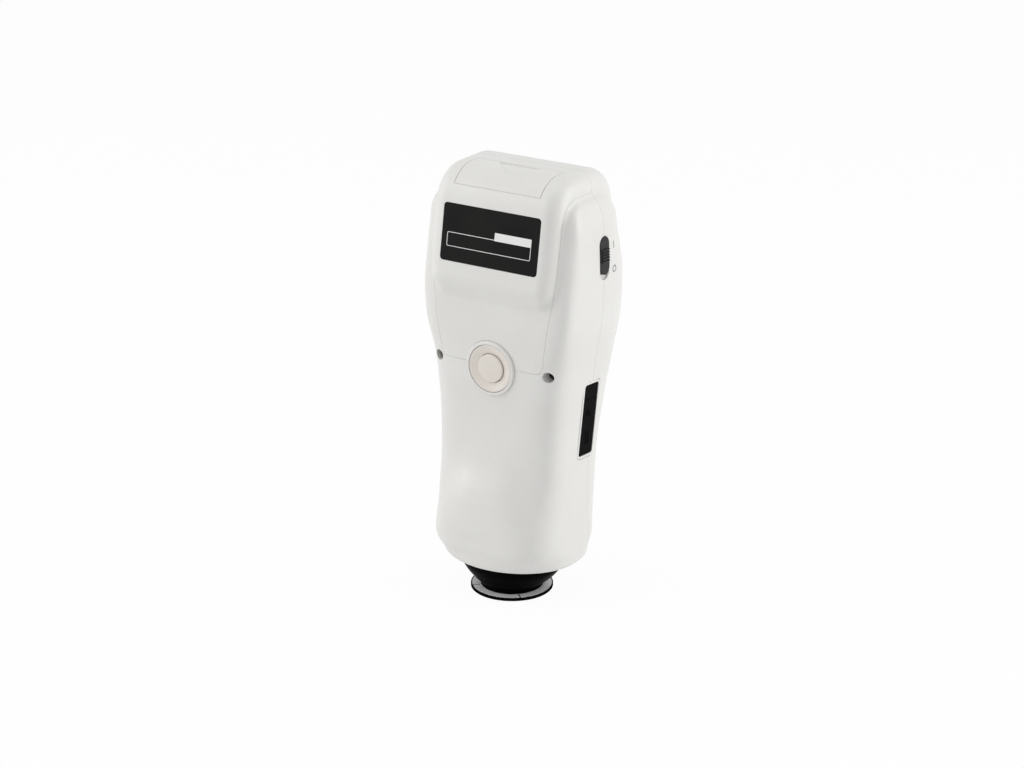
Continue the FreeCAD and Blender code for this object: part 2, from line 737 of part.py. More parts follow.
def switch_cut():
    """Return the switch's pocket and the slit in its floor."""
    corner = SWITCH_SLOT_WIDTH / 2 - 0.01
    pocket = panel(SWITCH_SLOT_WIDTH, SWITCH_SLOT_LENGTH, corner, -SWITCH_POCKET, 2 * WALL)
    slit = panel(SLIT_WIDTH, SLIT_LENGTH, SLIT_WIDTH / 3, -4 * WALL, 0)
    return placed(pocket.fuse(slit), SWITCH_FRAME)


def port_size(grow):
    """Return the width and length of the port cover, grown on all sides."""
    return PORT_WIDTH + 2 * grow, PORT_LENGTH + 2 * grow


def port_cut():
    """Return the opening in the shells for the port frame."""
    width, length = port_size(2 * PORT_GAP + PORT_RIM)
    return placed(panel(width, length, PORT_CORNER + PORT_RIM, -8 * WALL, 4 * WALL), PORT_FRAME)


def nose_hole():
    """Return the round opening in the floor of the shells."""
    return rod(NOSE_HOLE_R, Vector(0, 0, 0), Vector(0, 0, FOOT_Z + 2 * WALL))


def rear_shell(rear, outside):
    """Return the rear shell: back of the grip and the rear halves of both cheeks."""
    cover_space = outline_prism(BLOCK_HALF + SEAM_GAP, COVER_LOW_Z - SEAM_GAP, COVER_CORNER + SEAM_GAP,
                                SEAM_Y, EXTENT)
    wells = []
    cuts = [nose_hole(), switch_cut(), port_cut(), button_hole()]
    for side in (-1, 1):
        well_x = side * SCREW_X
        boss_x = side * BUTTON_BOSS_X
        wells.append(tube_y(well_x, SCREW_Z, WELL_R + WELL_WALL, SEAM_Y + SEAM_GAP / 2,
                            EXTENT).common(outside))
        wells.append(tube_y(boss_x, BUTTON_BOSS_Z, BUTTON_BOSS_R, BUTTON_BOARD_Y, EXTENT).common(outside))
        cuts.append(tube_y(well_x, SCREW_Z, WELL_R, SCREW_SEAT_Y, EXTENT))
        cuts.append(tube_y(well_x, SCREW_Z, SCREW_CLEAR_R, -EXTENT, EXTENT))
        cuts.append(tube_y(boss_x, BUTTON_BOSS_Z, BOARD_SCREW_R, 0, BUTTON_BOARD_Y + BOARD_SCREW_LENGTH))
    return rear.fuse(wells).cut([cover_space] + cuts)


def rear_cover(rear, outside):
    """Return the rear upper cover with the hump, the door seat and two locating tabs."""
    cover = rear.common(outline_prism(BLOCK_HALF, COVER_LOW_Z, COVER_CORNER, SEAM_Y, EXTENT))
    seat = above_plane(DOOR_HALF + SEAT_MARGIN, DOOR_FRONT_Y - SEAT_MARGIN, EXTENT / 10,
                       SEAT_THICK + DOOR_GAP / 2, EXTENT)
    seat = seat.cut(above_plane(EXTENT, -EXTENT, EXTENT, DOOR_GAP / 2, 2 * EXTENT)).common(outside)
    additions = [seat]
    inner_y = station_value(COVER_LOW_Z, 2) - WALL
    for side in (-1, 1):
        x0 = side * TAB_X - TAB_WIDTH / 2
        x1 = side * TAB_X + TAB_WIDTH / 2
        low = inner_y - 2 * TAB_GAP - TAB_THICK
        additions.append(block(x0, x1, low, low + TAB_THICK, COVER_LOW_Z - TAB_DROP, COVER_LOW_Z + TAB_DROP))
        root = block(x0, x1, low, EXTENT, COVER_LOW_Z + SEAM_GAP, COVER_LOW_Z + TAB_DROP)
        additions.append(root.common(outside))
    door_space = above_plane(DOOR_HALF + DOOR_GAP, DOOR_FRONT_Y - DOOR_GAP, EXTENT / 2, DOOR_GAP / 2, EXTENT)
    plate_space = placed(panel(PLATE_WIDTH + 2 * PLATE_GAP, PLATE_HEIGHT + 2 * PLATE_GAP, PLATE_CORNER,
                               -PLATE_POCKET,
                               WALL), PLATE_FRAME)
    cuts = [door_space, plate_space, tongue(DOOR_GAP / 2), button_hole(),
            battery_box(TRAY_GAP, TRAY_FLOOR_Z, EXTENT)]
    return cover.fuse(additions).cut(cuts)


def front_shell(front, outside):
    """Return the front shell with its screen opening, key holes and posts."""
    additions = []
    cuts = [nose_hole(), switch_cut(), port_cut()]
    for side in (-1, 1):
        additions.append(tube_y(side * SCREW_X, SCREW_Z, POST_R, -EXTENT,
                                SEAM_Y - SEAM_GAP / 2).common(outside))
        cuts.append(tube_y(side * SCREW_X, SCREW_Z, SCREW_BORE_R, POST_BORE_END_Y, SEAM_Y))
        for z in (BOARD_POST_LOW_Z, BOARD_POST_HIGH_Z):
            additions.append(tube_y(side * BOARD_POST_X, z, BOARD_POST_R, -EXTENT,
                                    MAIN_BOARD_FRONT_Y).common(outside))
            cuts.append(tube_y(side * BOARD_POST_X, z, BOARD_SCREW_R + SEAM_GAP / 4,
                               MAIN_BOARD_FRONT_Y - BOARD_SCREW_LENGTH, MAIN_BOARD_FRONT_Y))
        for v in (-KEY_POST_V, KEY_POST_V):
            additions.append(local_rod(KEY_POST_R, KEY_BOARD_TOP, -WALL / 2, KEYPAD_FRAME,
                                       (side * KEY_POST_X, v)))
    window = panel(WINDOW_WIDTH + 2 * WINDOW_GAP, WINDOW_HEIGHT + 2 * WINDOW_GAP, WINDOW_CORNER,
                   -WINDOW_THICK, WALL)
    view = panel(VIEW_WIDTH, VIEW_HEIGHT, WINDOW_CORNER / 2, -2 * WALL, 0)
    cuts.append(placed(window.fuse(view), WINDOW_FRAME))
    for place in KEY_PLACES.values():
        cuts.append(placed(panel(KEY_WIDTH + 2 * KEY_GAP, KEY_HEIGHT + 2 * KEY_GAP, KEY_CORNER, -2 * WALL,
                                 WALL, place),
                           KEYPAD_FRAME))
    return front.fuse(additions).cut(cuts)


def data_plate():
    """Return the thin plate in the pocket of the hump."""
    return placed(panel(PLATE_WIDTH, PLATE_HEIGHT, PLATE_CORNER, -PLATE_POCKET, PLATE_THICK - PLATE_POCKET),
                  PLATE_FRAME)


# Test button
LIP_TOP = 1.0 - BEZEL_DEEP
RING_LOW = LIP_TOP + RING_GAP / 2
FLANGE_TOP = RING_LOW - RING_GAP
STEM_END = FLANGE_TOP - FLANGE_THICK - STEM_LENGTH
SWITCH_TOP = STEM_END - BUTTON_TRAVEL - RING_GAP
BUTTON_BOARD_Y = station_value(BUTTON_Z, 2) + SWITCH_TOP - BUTTON_SWITCH[2]
RING_R = BEZEL_BORE_R - RING_GAP
RING_TOP = BEZEL_PROUD - RING_GAP
CAP_R = RING_BORE_R - CAP_GAP


def test_button_bezel():
    """Return the round white bezel with a seat flange and an inner lip."""
    chamfer = BEZEL_PROUD / 2
    return turned([(BEZEL_LIP_R, -BEZEL_DEEP), (BEZEL_BARREL_R, -BEZEL_DEEP), (BEZEL_BARREL_R, -SPOT_DEPTH),
                   (BEZEL_R, -SPOT_DEPTH), (BEZEL_R, chamfer), (BEZEL_R - chamfer, BEZEL_PROUD),
                   (BEZEL_BORE_R, BEZEL_PROUD), (BEZEL_BORE_R, LIP_TOP), (BEZEL_LIP_R, LIP_TOP)],
                   BUTTON_FRAME)


def test_button_ring():
    """Return the dished ring between the bezel and the cap."""
    return turned([(RING_BORE_R, RING_LOW), (RING_R, RING_LOW), (RING_R, RING_TOP - RING_GAP),
                   (RING_R - RING_GAP, RING_TOP), (RING_R - 4 * RING_GAP, RING_TOP),
                   (RING_BORE_R, RING_TOP - RING_DISH)], BUTTON_FRAME)


def test_button():
    """Return the pressed cap with its retaining flange and hollow stem."""
    low = FLANGE_TOP - FLANGE_THICK
    return turned([(STEM_BORE_R, STEM_END), (STEM_R, STEM_END), (STEM_R, low), (FLANGE_R, low),
                   (FLANGE_R, FLANGE_TOP),
                   (CAP_R, FLANGE_TOP), (CAP_R, RING_TOP - CAP_DOME),
                   (CAP_R - CAP_DOME, RING_TOP - CAP_DOME / 3),
                   (CAP_R / 2, RING_TOP), (0, RING_TOP), (0, low), (STEM_BORE_R, low)], BUTTON_FRAME)


def button_board():
    """Return the small board behind the test button with its switch."""
    board = block(-BUTTON_BOARD_HALF, BUTTON_BOARD_HALF, BUTTON_BOARD_Y - BOARD_THICK, BUTTON_BOARD_Y,
                  BUTTON_BOARD_LOW_Z,
                  BUTTON_BOARD_HIGH_Z)
    width, height, thick = BUTTON_SWITCH
    switch = placed(panel(width, height, width / 8, SWITCH_TOP - thick, SWITCH_TOP), BUTTON_FRAME)
    plunger = local_rod(PLUNGER_R, SWITCH_TOP, FLANGE_TOP - FLANGE_THICK - BUTTON_TRAVEL - RING_GAP / 2,
                        BUTTON_FRAME)
    holes = [tube_y(side * BUTTON_BOSS_X, BUTTON_BOSS_Z, BOARD_SCREW_R + RING_GAP, -EXTENT,
                    EXTENT) for side in (-1, 1)]
    return board.cut(holes).fuse([switch, plunger])


# Power switch
def power_switch_knob():
    """Return the ribbed slider of the power switch, at the upper end of its slot."""
    width = SWITCH_SLOT_WIDTH - 2 * SWITCH_GAP
    length = SWITCH_SLOT_LENGTH - SWITCH_TRAVEL - 2 * SWITCH_GAP
    lift = SWITCH_TRAVEL / 2
    low = SWITCH_GAP / 2 - SWITCH_POCKET
    top = KNOB_PROUD / 3
    knob = panel(width, length, width / 2 - 0.01, low, top, (0.0, lift))
    ribs = []
    for index in range(KNOB_RIBS):
        v = lift + (index - (KNOB_RIBS - 1) / 2) * KNOB_RIB_PITCH
        ribs.append(panel(0.8 * width, KNOB_RIB_PITCH / 2, KNOB_RIB_PITCH / 8, 0.0, KNOB_PROUD, (0.0, v)))
    lever = panel(LEVER_WIDTH, LEVER_LENGTH, LEVER_WIDTH / 4, -WALL - KNOB_PROUD, 0.0, (0.0, lift))
    return placed(knob.fuse(ribs + [lever]), SWITCH_FRAME)


SWITCH_BODY_X = -(side_half(SWITCH_Z) - WALL - 2 * SWITCH_GAP)


def power_switch_body():
    """Return the slide switch that stands on the main board behind the slot."""
    width, height, depth = SWITCH_BODY
    body = block(SWITCH_BODY_X, SWITCH_BODY_X + depth, MAIN_BOARD_BACK_Y, SEAM_Y + width / 2,
                 SWITCH_Z - height / 2,
                 SWITCH_Z + height / 2)
    groove = placed(panel(LEVER_WIDTH + 2 * SWITCH_GAP, SLIT_LENGTH, LEVER_WIDTH / 4, -WALL - 2 * KNOB_PROUD,
                          0.0),
                    SWITCH_FRAME)
    return body.cut(groove)


# Port recess
PORT_BACK = -PORT_DEPTH - PORT_FLOOR
CREASE_V = PORT_LENGTH / 2 - CREASE_FROM_TOP
ANCHOR_PEG_R = 1.5


def port_frame():
    """Return the rimmed frame that holds the port cover and lets the plugs through its floor."""
    width, length = port_size(PORT_GAP + PORT_RIM)
    frame = panel(width, length, PORT_CORNER + PORT_RIM, PORT_BACK, PORT_PROUD)
    width, length = port_size(PORT_GAP)
    pocket = panel(width, length, PORT_CORNER, -PORT_DEPTH, 2 * WALL)
    dc_hole = rod(DC_BORE_R + PORT_FLOOR, Vector(0, DC_V, PORT_BACK), Vector(0, DC_V, 0))
    usb_hole = panel(USB_MOUTH[0] + 2 * PORT_FLOOR, USB_MOUTH[1] + 2 * PORT_FLOOR, PORT_GAP, PORT_BACK, 0,
                     (0.0, USB_V))
    peg_hole = rod(ANCHOR_PEG_R + 0.05, Vector(0, anchor_v(), PORT_BACK), Vector(0, anchor_v(), 0))
    return placed(frame.cut([pocket, dc_hole, usb_hole, peg_hole]), PORT_FRAME)


def anchor_v():
    """Return the height of the anchor's peg in the port's frame."""
    return PORT_LENGTH / 2 - CREASE_FROM_TOP / 2


def port_cover_anchor():
    """Return the fixed top of the rubber port cover with its peg."""
    width, length = port_size(0.0)
    strip = panel(width, length, PORT_CORNER, -PORT_DEPTH, 0)
    keep = block(-width, width, CREASE_V + CREASE_GAP / 2, length, -EXTENT, EXTENT)
    peg = rod(ANCHOR_PEG_R, Vector(0, anchor_v(), PORT_BACK - PORT_FLOOR), Vector(0, anchor_v(), -PORT_FLOOR))
    return placed(strip.common(keep).fuse(peg), PORT_FRAME)


def port_cover_flap():
    """Return the hinged lower part of the rubber port cover with a stiffening rim behind."""
    width, length = port_size(0.0)
    strip = panel(width, length, PORT_CORNER, -COVER_THICK, 0)
    keep = block(-width, width, -length, CREASE_V - CREASE_GAP / 2, -EXTENT, EXTENT)
    low = -length / 2
    high = CREASE_V - CREASE_FROM_TOP / 2
    middle = (low + high) / 2
    rim_width = width - 2 * PORT_RIM
    rim_length = high - low - 2 * PORT_RIM
    rim = panel(rim_width, rim_length, PORT_RIM, -COVER_THICK - PORT_RIM / 2, -COVER_THICK / 2, (0.0, middle))
    hollow = panel(rim_width - 2 * PORT_RIM, rim_length - 2 * PORT_RIM, PORT_RIM / 2, -EXTENT,
                   -COVER_THICK / 2,
                   (0.0, middle))
    return placed(strip.common(keep).fuse(rim).cut(hollow), PORT_FRAME)


def dc_socket():
    """Return the round supply socket with its centre pin."""
    width, height, depth = DC_BLOCK
    body = block(-width / 2, width / 2, DC_V - height / 2, DC_V + height / 2, PORT_BACK - depth, PORT_BACK)
    bore = rod(DC_BORE_R, Vector(0, DC_V, PORT_BACK - DC_DEEP), Vector(0, DC_V, PORT_BACK))
    pin = rod(DC_PIN_R, Vector(0, DC_V, PORT_BACK - depth + DC_PIN_R), Vector(0, DC_V, PORT_BACK - DC_BORE_R))
    return placed(body.cut(bore).fuse(pin), PORT_FRAME)


def usb_socket():
    """Return the flat data socket with its tongue."""
    width, height, depth = USB_BLOCK
    body = block(-width / 2, DC_BLOCK[0] / 2, USB_V - height / 2, USB_V + height / 2, PORT_BACK - depth,
                 PORT_BACK)
    mouth = panel(USB_MOUTH[0], USB_MOUTH[1], USB_MOUTH[0] / 4, PORT_BACK - USB_DEEP, PORT_BACK, (0.0, USB_V))
    thick, wide, reach = USB_TONGUE
    tongue_block = block(-thick / 2, thick / 2, USB_V - wide / 2, USB_V + wide / 2,
                         PORT_BACK - USB_DEEP - thick,
                         PORT_BACK - USB_DEEP + reach)
    return placed(body.cut(mouth).fuse(tongue_block), PORT_FRAME)


def port_board():
    """Return the board that both sockets stand on."""
    near = DC_BLOCK[0] / 2
    board = block(near, near + PORT_BOARD_THICK, USB_V - USB_BLOCK[1], DC_V + DC_BLOCK[1],
                  PORT_BACK - DC_BLOCK[2] - WALL,
                  PORT_BACK - PORT_FLOOR)
    return placed(board, PORT_FRAME)


# Display and keys
def display_window():
    """Return the clear window over the display."""
    return placed(panel(WINDOW_WIDTH, WINDOW_HEIGHT, WINDOW_CORNER, -WINDOW_THICK, 0.0), WINDOW_FRAME)


def display_gasket():
    """Return the foam frame between the shell and the display."""
    ring = panel(MODULE_WIDTH, MODULE_HEIGHT, WINDOW_CORNER / 2, -WALL - GASKET_THICK, -WALL)
    hole = panel(MODULE_WIDTH - 2 * GASKET_RIM, MODULE_HEIGHT - 2 * GASKET_RIM, WINDOW_CORNER / 3, -EXTENT,
                 EXTENT)
    return placed(ring.cut(hole), WINDOW_FRAME)


def display_module():
    """Return the display with a raised screen area inside the gasket."""
    top = -WALL - GASKET_THICK
    plate = panel(MODULE_WIDTH, MODULE_HEIGHT, WINDOW_CORNER / 3, top - MODULE_THICK, top)
    screen = panel(VIEW_WIDTH - 2 * GASKET_RIM, VIEW_HEIGHT - 2 * GASKET_RIM, WINDOW_CORNER / 3, top, -WALL)
    return placed(plate.fuse(screen), WINDOW_FRAME)


KEY_FLANGE_TOP = -WALL - KEY_GAP
KEY_FLANGE_LOW = KEY_FLANGE_TOP - KEY_FLANGE_THICK
MEMBRANE_TOP = KEY_FLANGE_LOW - KEY_TRAVEL - KEY_GAP / 2 - DOME_H
KEY_BOARD_TOP = MEMBRANE_TOP - MEMBRANE_THICK


def key(place):
    """Return one key with its retaining flange."""
    cap = panel(KEY_WIDTH, KEY_HEIGHT, KEY_CORNER, KEY_FLANGE_LOW, KEY_PROUD, place)
    rim = [edge for edge in cap.Edges if edge.BoundBox.ZMin > KEY_PROUD - 1e-6]
    cap = cap.makeFillet(KEY_PROUD / 2, rim)
    flange = panel(KEY_WIDTH + 2 * KEY_FLANGE, KEY_HEIGHT + 2 * KEY_FLANGE, KEY_CORNER, KEY_FLANGE_LOW,
                   KEY_FLANGE_TOP, place)
    return placed(cap.fuse(flange), KEYPAD_FRAME)


def key_membrane():
    """Return the rubber sheet with a dome under each key."""
    sheet = panel(KEY_BOARD_WIDTH, KEY_BOARD_HEIGHT, KEY_CORNER, KEY_BOARD_TOP, MEMBRANE_TOP)
    domes = [rod(DOME_R, Vector(u, v, MEMBRANE_TOP), Vector(u, v, MEMBRANE_TOP + DOME_H)) for u,
             v in KEY_PLACES.values()]
    holes = [rod(KEY_POST_R + KEY_GAP, Vector(side * KEY_POST_X, v, -EXTENT),
                 Vector(side * KEY_POST_X, v, EXTENT))
             for side in (-1, 1) for v in (-KEY_POST_V, KEY_POST_V)]
    return placed(sheet.fuse(domes).cut(holes), KEYPAD_FRAME)


def key_board():
    """Return the board behind the keys, on four short posts."""
    return placed(panel(KEY_BOARD_WIDTH, KEY_BOARD_HEIGHT, KEY_CORNER, KEY_BOARD_TOP - KEY_BOARD_THICK,
                        KEY_BOARD_TOP),
                  KEYPAD_FRAME)


# Main board
MAIN_BOARD_FRONT_Y = MAIN_BOARD_BACK_Y - BOARD_THICK


def main_board():
    """Return the main board with its chips and the ear that carries the power switch."""
    board = block(-MAIN_BOARD_HALF, MAIN_BOARD_HALF, MAIN_BOARD_FRONT_Y, MAIN_BOARD_BACK_Y, MAIN_BOARD_LOW_Z,
                  MAIN_BOARD_HIGH_Z)
    reach = SWITCH_BODY[1] / 2
    ear = block(SWITCH_BODY_X + SWITCH_BODY[2] / 3, 0, MAIN_BOARD_FRONT_Y, MAIN_BOARD_BACK_Y,
                SWITCH_Z - reach, SWITCH_Z + reach)
    chips = [block(x - w / 2, x + w / 2, MAIN_BOARD_BACK_Y, MAIN_BOARD_BACK_Y + CHIP_HEIGHT, z - h / 2,
                   z + h / 2)
             for x, z, w, h in CHIP_SIZES]
    holes = [tube_y(side * BOARD_POST_X, z, BOARD_SCREW_R + KEY_GAP, -EXTENT, EXTENT)
             for side in (-1, 1) for z in (BOARD_POST_LOW_Z, BOARD_POST_HIGH_Z)]
    return board.fuse([ear] + chips).cut(holes)


def screw_y(x, z, seat_y, into, head_r, head_h, shank_r, length):
    """Return a screw along Y with a slotless round head on its seat; into is the way the shank points."""
    head = tube_y(x, z, head_r, *sorted((seat_y, seat_y - into * head_h)))
    shank = tube_y(x, z, shank_r, *sorted((seat_y, seat_y + into * length)))
    return head.fuse(shank)


def board_screws():
    """Return the four main-board screws and the two button-board screws."""
    screws = [screw_y(side * BOARD_POST_X, z, MAIN_BOARD_BACK_Y, -1, BOARD_SCREW_HEAD_R, BOARD_SCREW_HEAD_H,
                      BOARD_SCREW_R,
                      BOARD_SCREW_LENGTH) for side in (-1, 1) for z in (BOARD_POST_LOW_Z, BOARD_POST_HIGH_Z)]
    for side in (-1, 1):
        screws.append(screw_y(side * BUTTON_BOSS_X, BUTTON_BOSS_Z, BUTTON_BOARD_Y - BOARD_THICK, 1,
                              BOARD_SCREW_HEAD_R,
                              BOARD_SCREW_HEAD_H, BOARD_SCREW_R - SEAM_GAP / 4, BOARD_SCREW_LENGTH))
    return Part.makeCompound(screws)


def case_screws():
    """Return the two case screws at the bottom of their wells."""
    length = SCREW_SEAT_Y - SCREW_TIP_Y
    return Part.makeCompound([screw_y(side * SCREW_X, SCREW_Z, SCREW_SEAT_Y, -1, SCREW_HEAD_R, SCREW_HEAD_H,
                                      SCREW_R, length)
                              for side in (-1, 1)])


def sounder():
    """Return the round sounder on the main board."""
    x, z = SOUNDER_XZ
    return tube_y(x, z, SOUNDER_R, MAIN_BOARD_BACK_Y, MAIN_BOARD_BACK_Y + SOUNDER_H).cut(
        tube_y(x, z, SOUNDER_R / 4, MAIN_BOARD_BACK_Y + SOUNDER_H / 2, EXTENT))


# Nose and optics
FLOOR_Z = FOOT_Z + WALL
BASE_TOP_Z = FLOOR_Z + BASE_THICK
LOCATOR_TOP_Z = FOOT_RING_THICK + LOCATOR_THICK


def nose_section(height, shrink):
    """Return the nose's section at a height: a circle at the foot, an oval under the housing."""
    share = (height - NOSE_BAND_Z) / (FOOT_Z - NOSE_BAND_Z)
    share += NOSE_BULGE * share * (1 - share)
    half, back, front = NOSE_RIM
    back = NOSE_LOW_R + (back - NOSE_LOW_R) * share
    front = -NOSE_LOW_R + (front + NOSE_LOW_R) * share
    half = NOSE_LOW_R + (half - NOSE_LOW_R) * share
    return section(height, (back + front) / 2, half - shrink, back - shrink, front + shrink, 2.0, 2.0)


def nose_bowl(low, high, shrink):
    """Return the nose's bowl between two heights, moved inwards by a distance."""
    return Part.makeLoft([nose_section(low + (high - low) * step / 5, shrink) for step in range(6)], True,
                         False)


def nose_cone():
    """Return the bowl-shaped nose with its foot band and the spigot in the housing's floor."""
    spigot_r = NOSE_HOLE_R - NOSE_GAP
    band = rod(NOSE_LOW_R, Vector(0, 0, LOCATOR_TOP_Z), Vector(0, 0, NOSE_BAND_Z + NOSE_WALL / 4))
    spigot = rod(spigot_r, Vector(0, 0, FOOT_Z - NOSE_WALL / 2), Vector(0, 0, FLOOR_Z))
    mouth = rod(spigot_r - NOSE_WALL, Vector(0, 0, FOOT_Z - 2 * NOSE_WALL), Vector(0, 0, FLOOR_Z))
    inside = nose_bowl(NOSE_BAND_Z + NOSE_WALL / 2, FOOT_Z - NOSE_WALL, NOSE_WALL)
    bore = rod(SPHERE_NECK_R + NOSE_GAP, Vector(0, 0, 0), Vector(0, 0, FOOT_Z))
    bowl = nose_bowl(NOSE_BAND_Z - NOSE_WALL / 2, FOOT_Z, 0.0)
    return band.fuse([bowl, spigot]).cut([inside, mouth, bore])


def locating_plate():
    """Return the round metal plate with four index lines cut into its rim."""
    plate = turned([(LOCATOR_HOLE_R, FOOT_RING_THICK), (LOCATOR_R, FOOT_RING_THICK),
                    (LOCATOR_R, LOCATOR_TOP_Z),
                    (LOCATOR_HOLE_R, LOCATOR_TOP_Z)])
    lines = []
    for turn in range(4):
        line = block(LOCATOR_R - LOCATOR_LINE_LENGTH, LOCATOR_R + 1, -LOCATOR_LINE_WIDTH / 2,
                     LOCATOR_LINE_WIDTH / 2,
                     LOCATOR_TOP_Z - LOCATOR_LINE_DEPTH, LOCATOR_TOP_Z + 1)
        line.rotate(Vector(0, 0, 0), Vector(0, 0, 1), LOCATOR_LINE_TURN + 90 * turn)
        lines.append(line)
    return plate.cut(lines)


def foot_ring():
    """Return the rubber ring under the locating plate, with a lip round the plate's edge."""
    edge = FOOT_RING_THICK / 4
    lip_r = LOCATOR_R + NOSE_GAP / 2
    top = FOOT_RING_THICK + FOOT_RING_LIP
    return turned([(FOOT_RING_BORE_R, 0), (FOOT_RING_R - edge, 0), (FOOT_RING_R, edge), (FOOT_RING_R, top),
                   (lip_r, top), (lip_r, FOOT_RING_THICK), (FOOT_RING_BORE_R, FOOT_RING_THICK)])


def optical_base():
    """Return the plate on the housing floor that holds the nose and the sphere."""
    disc = rod(BASE_R, Vector(0, 0, FLOOR_Z), Vector(0, 0, BASE_TOP_Z))
    ears = block(-BASE_EAR_X, BASE_EAR_X, -BASE_EAR_HALF_Y, BASE_EAR_HALF_Y, FLOOR_Z, BASE_TOP_Z)
    hole = rod(SPHERE_NECK_R + 2 * NOSE_GAP, Vector(0, 0, 0), Vector(0, 0, EXTENT))
    return disc.fuse(ears).cut(hole)


def sphere_screw_places():
    """Return the four screw places on the sphere's flange."""
    places = []
    for turn in range(4):
        angle = math.radians(45 + 90 * turn)
        places.append((SPHERE_SCREW_CIRCLE * math.cos(angle), SPHERE_SCREW_CIRCLE * math.sin(angle)))
    return places


def flange(low, high):
    """Return a sphere flange with its screw holes."""
    ring = rod(SPHERE_FLANGE_R, Vector(0, 0, low), Vector(0, 0, high))
    holes = [rod(SPHERE_SCREW_R + 0.05, Vector(x, y, low), Vector(x, y, high)) for x,
             y in sphere_screw_places()]
    return ring.cut(holes)


def ball(radius):
    """Return a ball about the centre of the sphere."""
    return Part.makeSphere(radius, Vector(0, 0, SPHERE_Z))


def sphere_lower():
    """Return the lower sphere half with its neck down to the measuring port."""
    below = block(-EXTENT, EXTENT, -EXTENT, EXTENT, -EXTENT, SPHERE_Z)
    shell = ball(SPHERE_R).fuse([rod(SPHERE_COLLAR_R, Vector(0, 0, BASE_TOP_Z), Vector(0, 0, SPHERE_Z)),
                                 rod(SPHERE_NECK_R, Vector(0, 0, NECK_LOW_Z), Vector(0, 0, SPHERE_Z))])
    shell = shell.common(below).fuse(flange(SPHERE_Z - SPHERE_FLANGE_THICK, SPHERE_Z))
    return shell.cut([ball(SPHERE_R - SPHERE_WALL), rod(SPHERE_PORT_R, Vector(0, 0, 0), Vector(0, 0,
                                                                                               SPHERE_Z))])


VIEW_AXIS = Vector(0, -math.sin(math.radians(VIEW_TILT)), math.cos(math.radians(VIEW_TILT)))
LAMP_AXIS = Vector(math.cos(math.radians(LAMP_ANGLE)), 0, math.sin(math.radians(LAMP_ANGLE)))
VIEW_FRAME = local_frame(Vector(0, 0, SPHERE_Z), Vector(0, VIEW_AXIS.z, -VIEW_AXIS.y), VIEW_AXIS)
LAMP_FRAME = local_frame(Vector(0, 0, SPHERE_Z), Vector(0, 1, 0), LAMP_AXIS)


def sphere_upper():
    """Return the upper sphere half with its viewing boss and lamp boss."""
    above = block(-EXTENT, EXTENT, -EXTENT, EXTENT, SPHERE_Z, EXTENT)
    shell = ball(SPHERE_R).fuse([local_rod(VIEW_BOSS_R, 0, VIEW_BOSS_END, VIEW_FRAME),
                                 local_rod(LAMP_BOSS_R, 0, VIEW_BOSS_END, LAMP_FRAME)])
    shell = shell.common(above).fuse(flange(SPHERE_Z, SPHERE_Z + SPHERE_FLANGE_THICK))
    return shell.cut([ball(SPHERE_R - SPHERE_WALL), local_rod(VIEW_PORT_R, 0, EXTENT, VIEW_FRAME),
                      local_rod(LAMP_PORT_R, 0, EXTENT, LAMP_FRAME)])


def sphere_screws():
    """Return the four screws that clamp the sphere's flanges."""
    top = SPHERE_Z + SPHERE_FLANGE_THICK
    screws = []
    for x, y in sphere_screw_places():
        shank = rod(SPHERE_SCREW_R, Vector(x, y, SPHERE_Z - SPHERE_FLANGE_THICK), Vector(x, y, top))
        screws.append(shank.fuse(rod(SPHERE_SCREW_HEAD_R, Vector(x, y, top),
                                     Vector(x, y, top + SPHERE_SCREW_HEAD_R))))
    return Part.makeCompound(screws)


def lamp_board():
    """Return the lamp board on the side of the sphere with its lamp in the port."""
    width, height, thick = LAMP_BOARD
    board = panel(width, height, thick, VIEW_BOSS_END, VIEW_BOSS_END + thick)
    lamp = rod(LAMP_R, Vector(0, 0, VIEW_BOSS_END - LAMP_LENGTH), Vector(0, 0, VIEW_BOSS_END))
    return placed(board.fuse(lamp), LAMP_FRAME)


BARREL_END = VIEW_BOSS_END + BARREL_LENGTH


def lens_barrel():
    """Return the tube between the sphere and the sensor."""
    return turned([(BARREL_BORE_R, VIEW_BOSS_END), (BARREL_R, VIEW_BOSS_END), (BARREL_R, BARREL_END),
                   (BARREL_BORE_R, BARREL_END)], VIEW_FRAME)


def lens():
    """Return the lens in the barrel, bulged on both faces."""
    low = VIEW_BOSS_END + LENS_OFFSET - LENS_BULGE
    high = VIEW_BOSS_END + LENS_OFFSET + LENS_EDGE + LENS_BULGE
    curve = (LENS_R ** 2 + LENS_BULGE ** 2) / (2 * LENS_BULGE)
    faces = [Part.makeSphere(curve, Vector(0, 0, low + curve)),
             Part.makeSphere(curve, Vector(0, 0, high - curve))]
    blank = rod(LENS_R, Vector(0, 0, low - LENS_BULGE), Vector(0, 0, high + LENS_BULGE))
    return placed(blank.common(faces[0]).common(faces[1]), VIEW_FRAME)


def sensor_block():
    """Return the sensor's housing on the end of the barrel."""
    width, depth, height = SENSOR_BLOCK
    body = panel(width, depth, 2 * SPHERE_WALL, BARREL_END, BARREL_END + height)
    return placed(body.cut(rod(BARREL_BORE_R, Vector(0, 0, 0), Vector(0, 0, BARREL_END + height / 2))),
                  VIEW_FRAME)


def sensor_board():
    """Return the board on the sensor's housing."""
    width, depth, thick = SENSOR_BOARD
    low = BARREL_END + SENSOR_BLOCK[2]
    return placed(panel(width, depth, thick, low, low + thick), VIEW_FRAME)


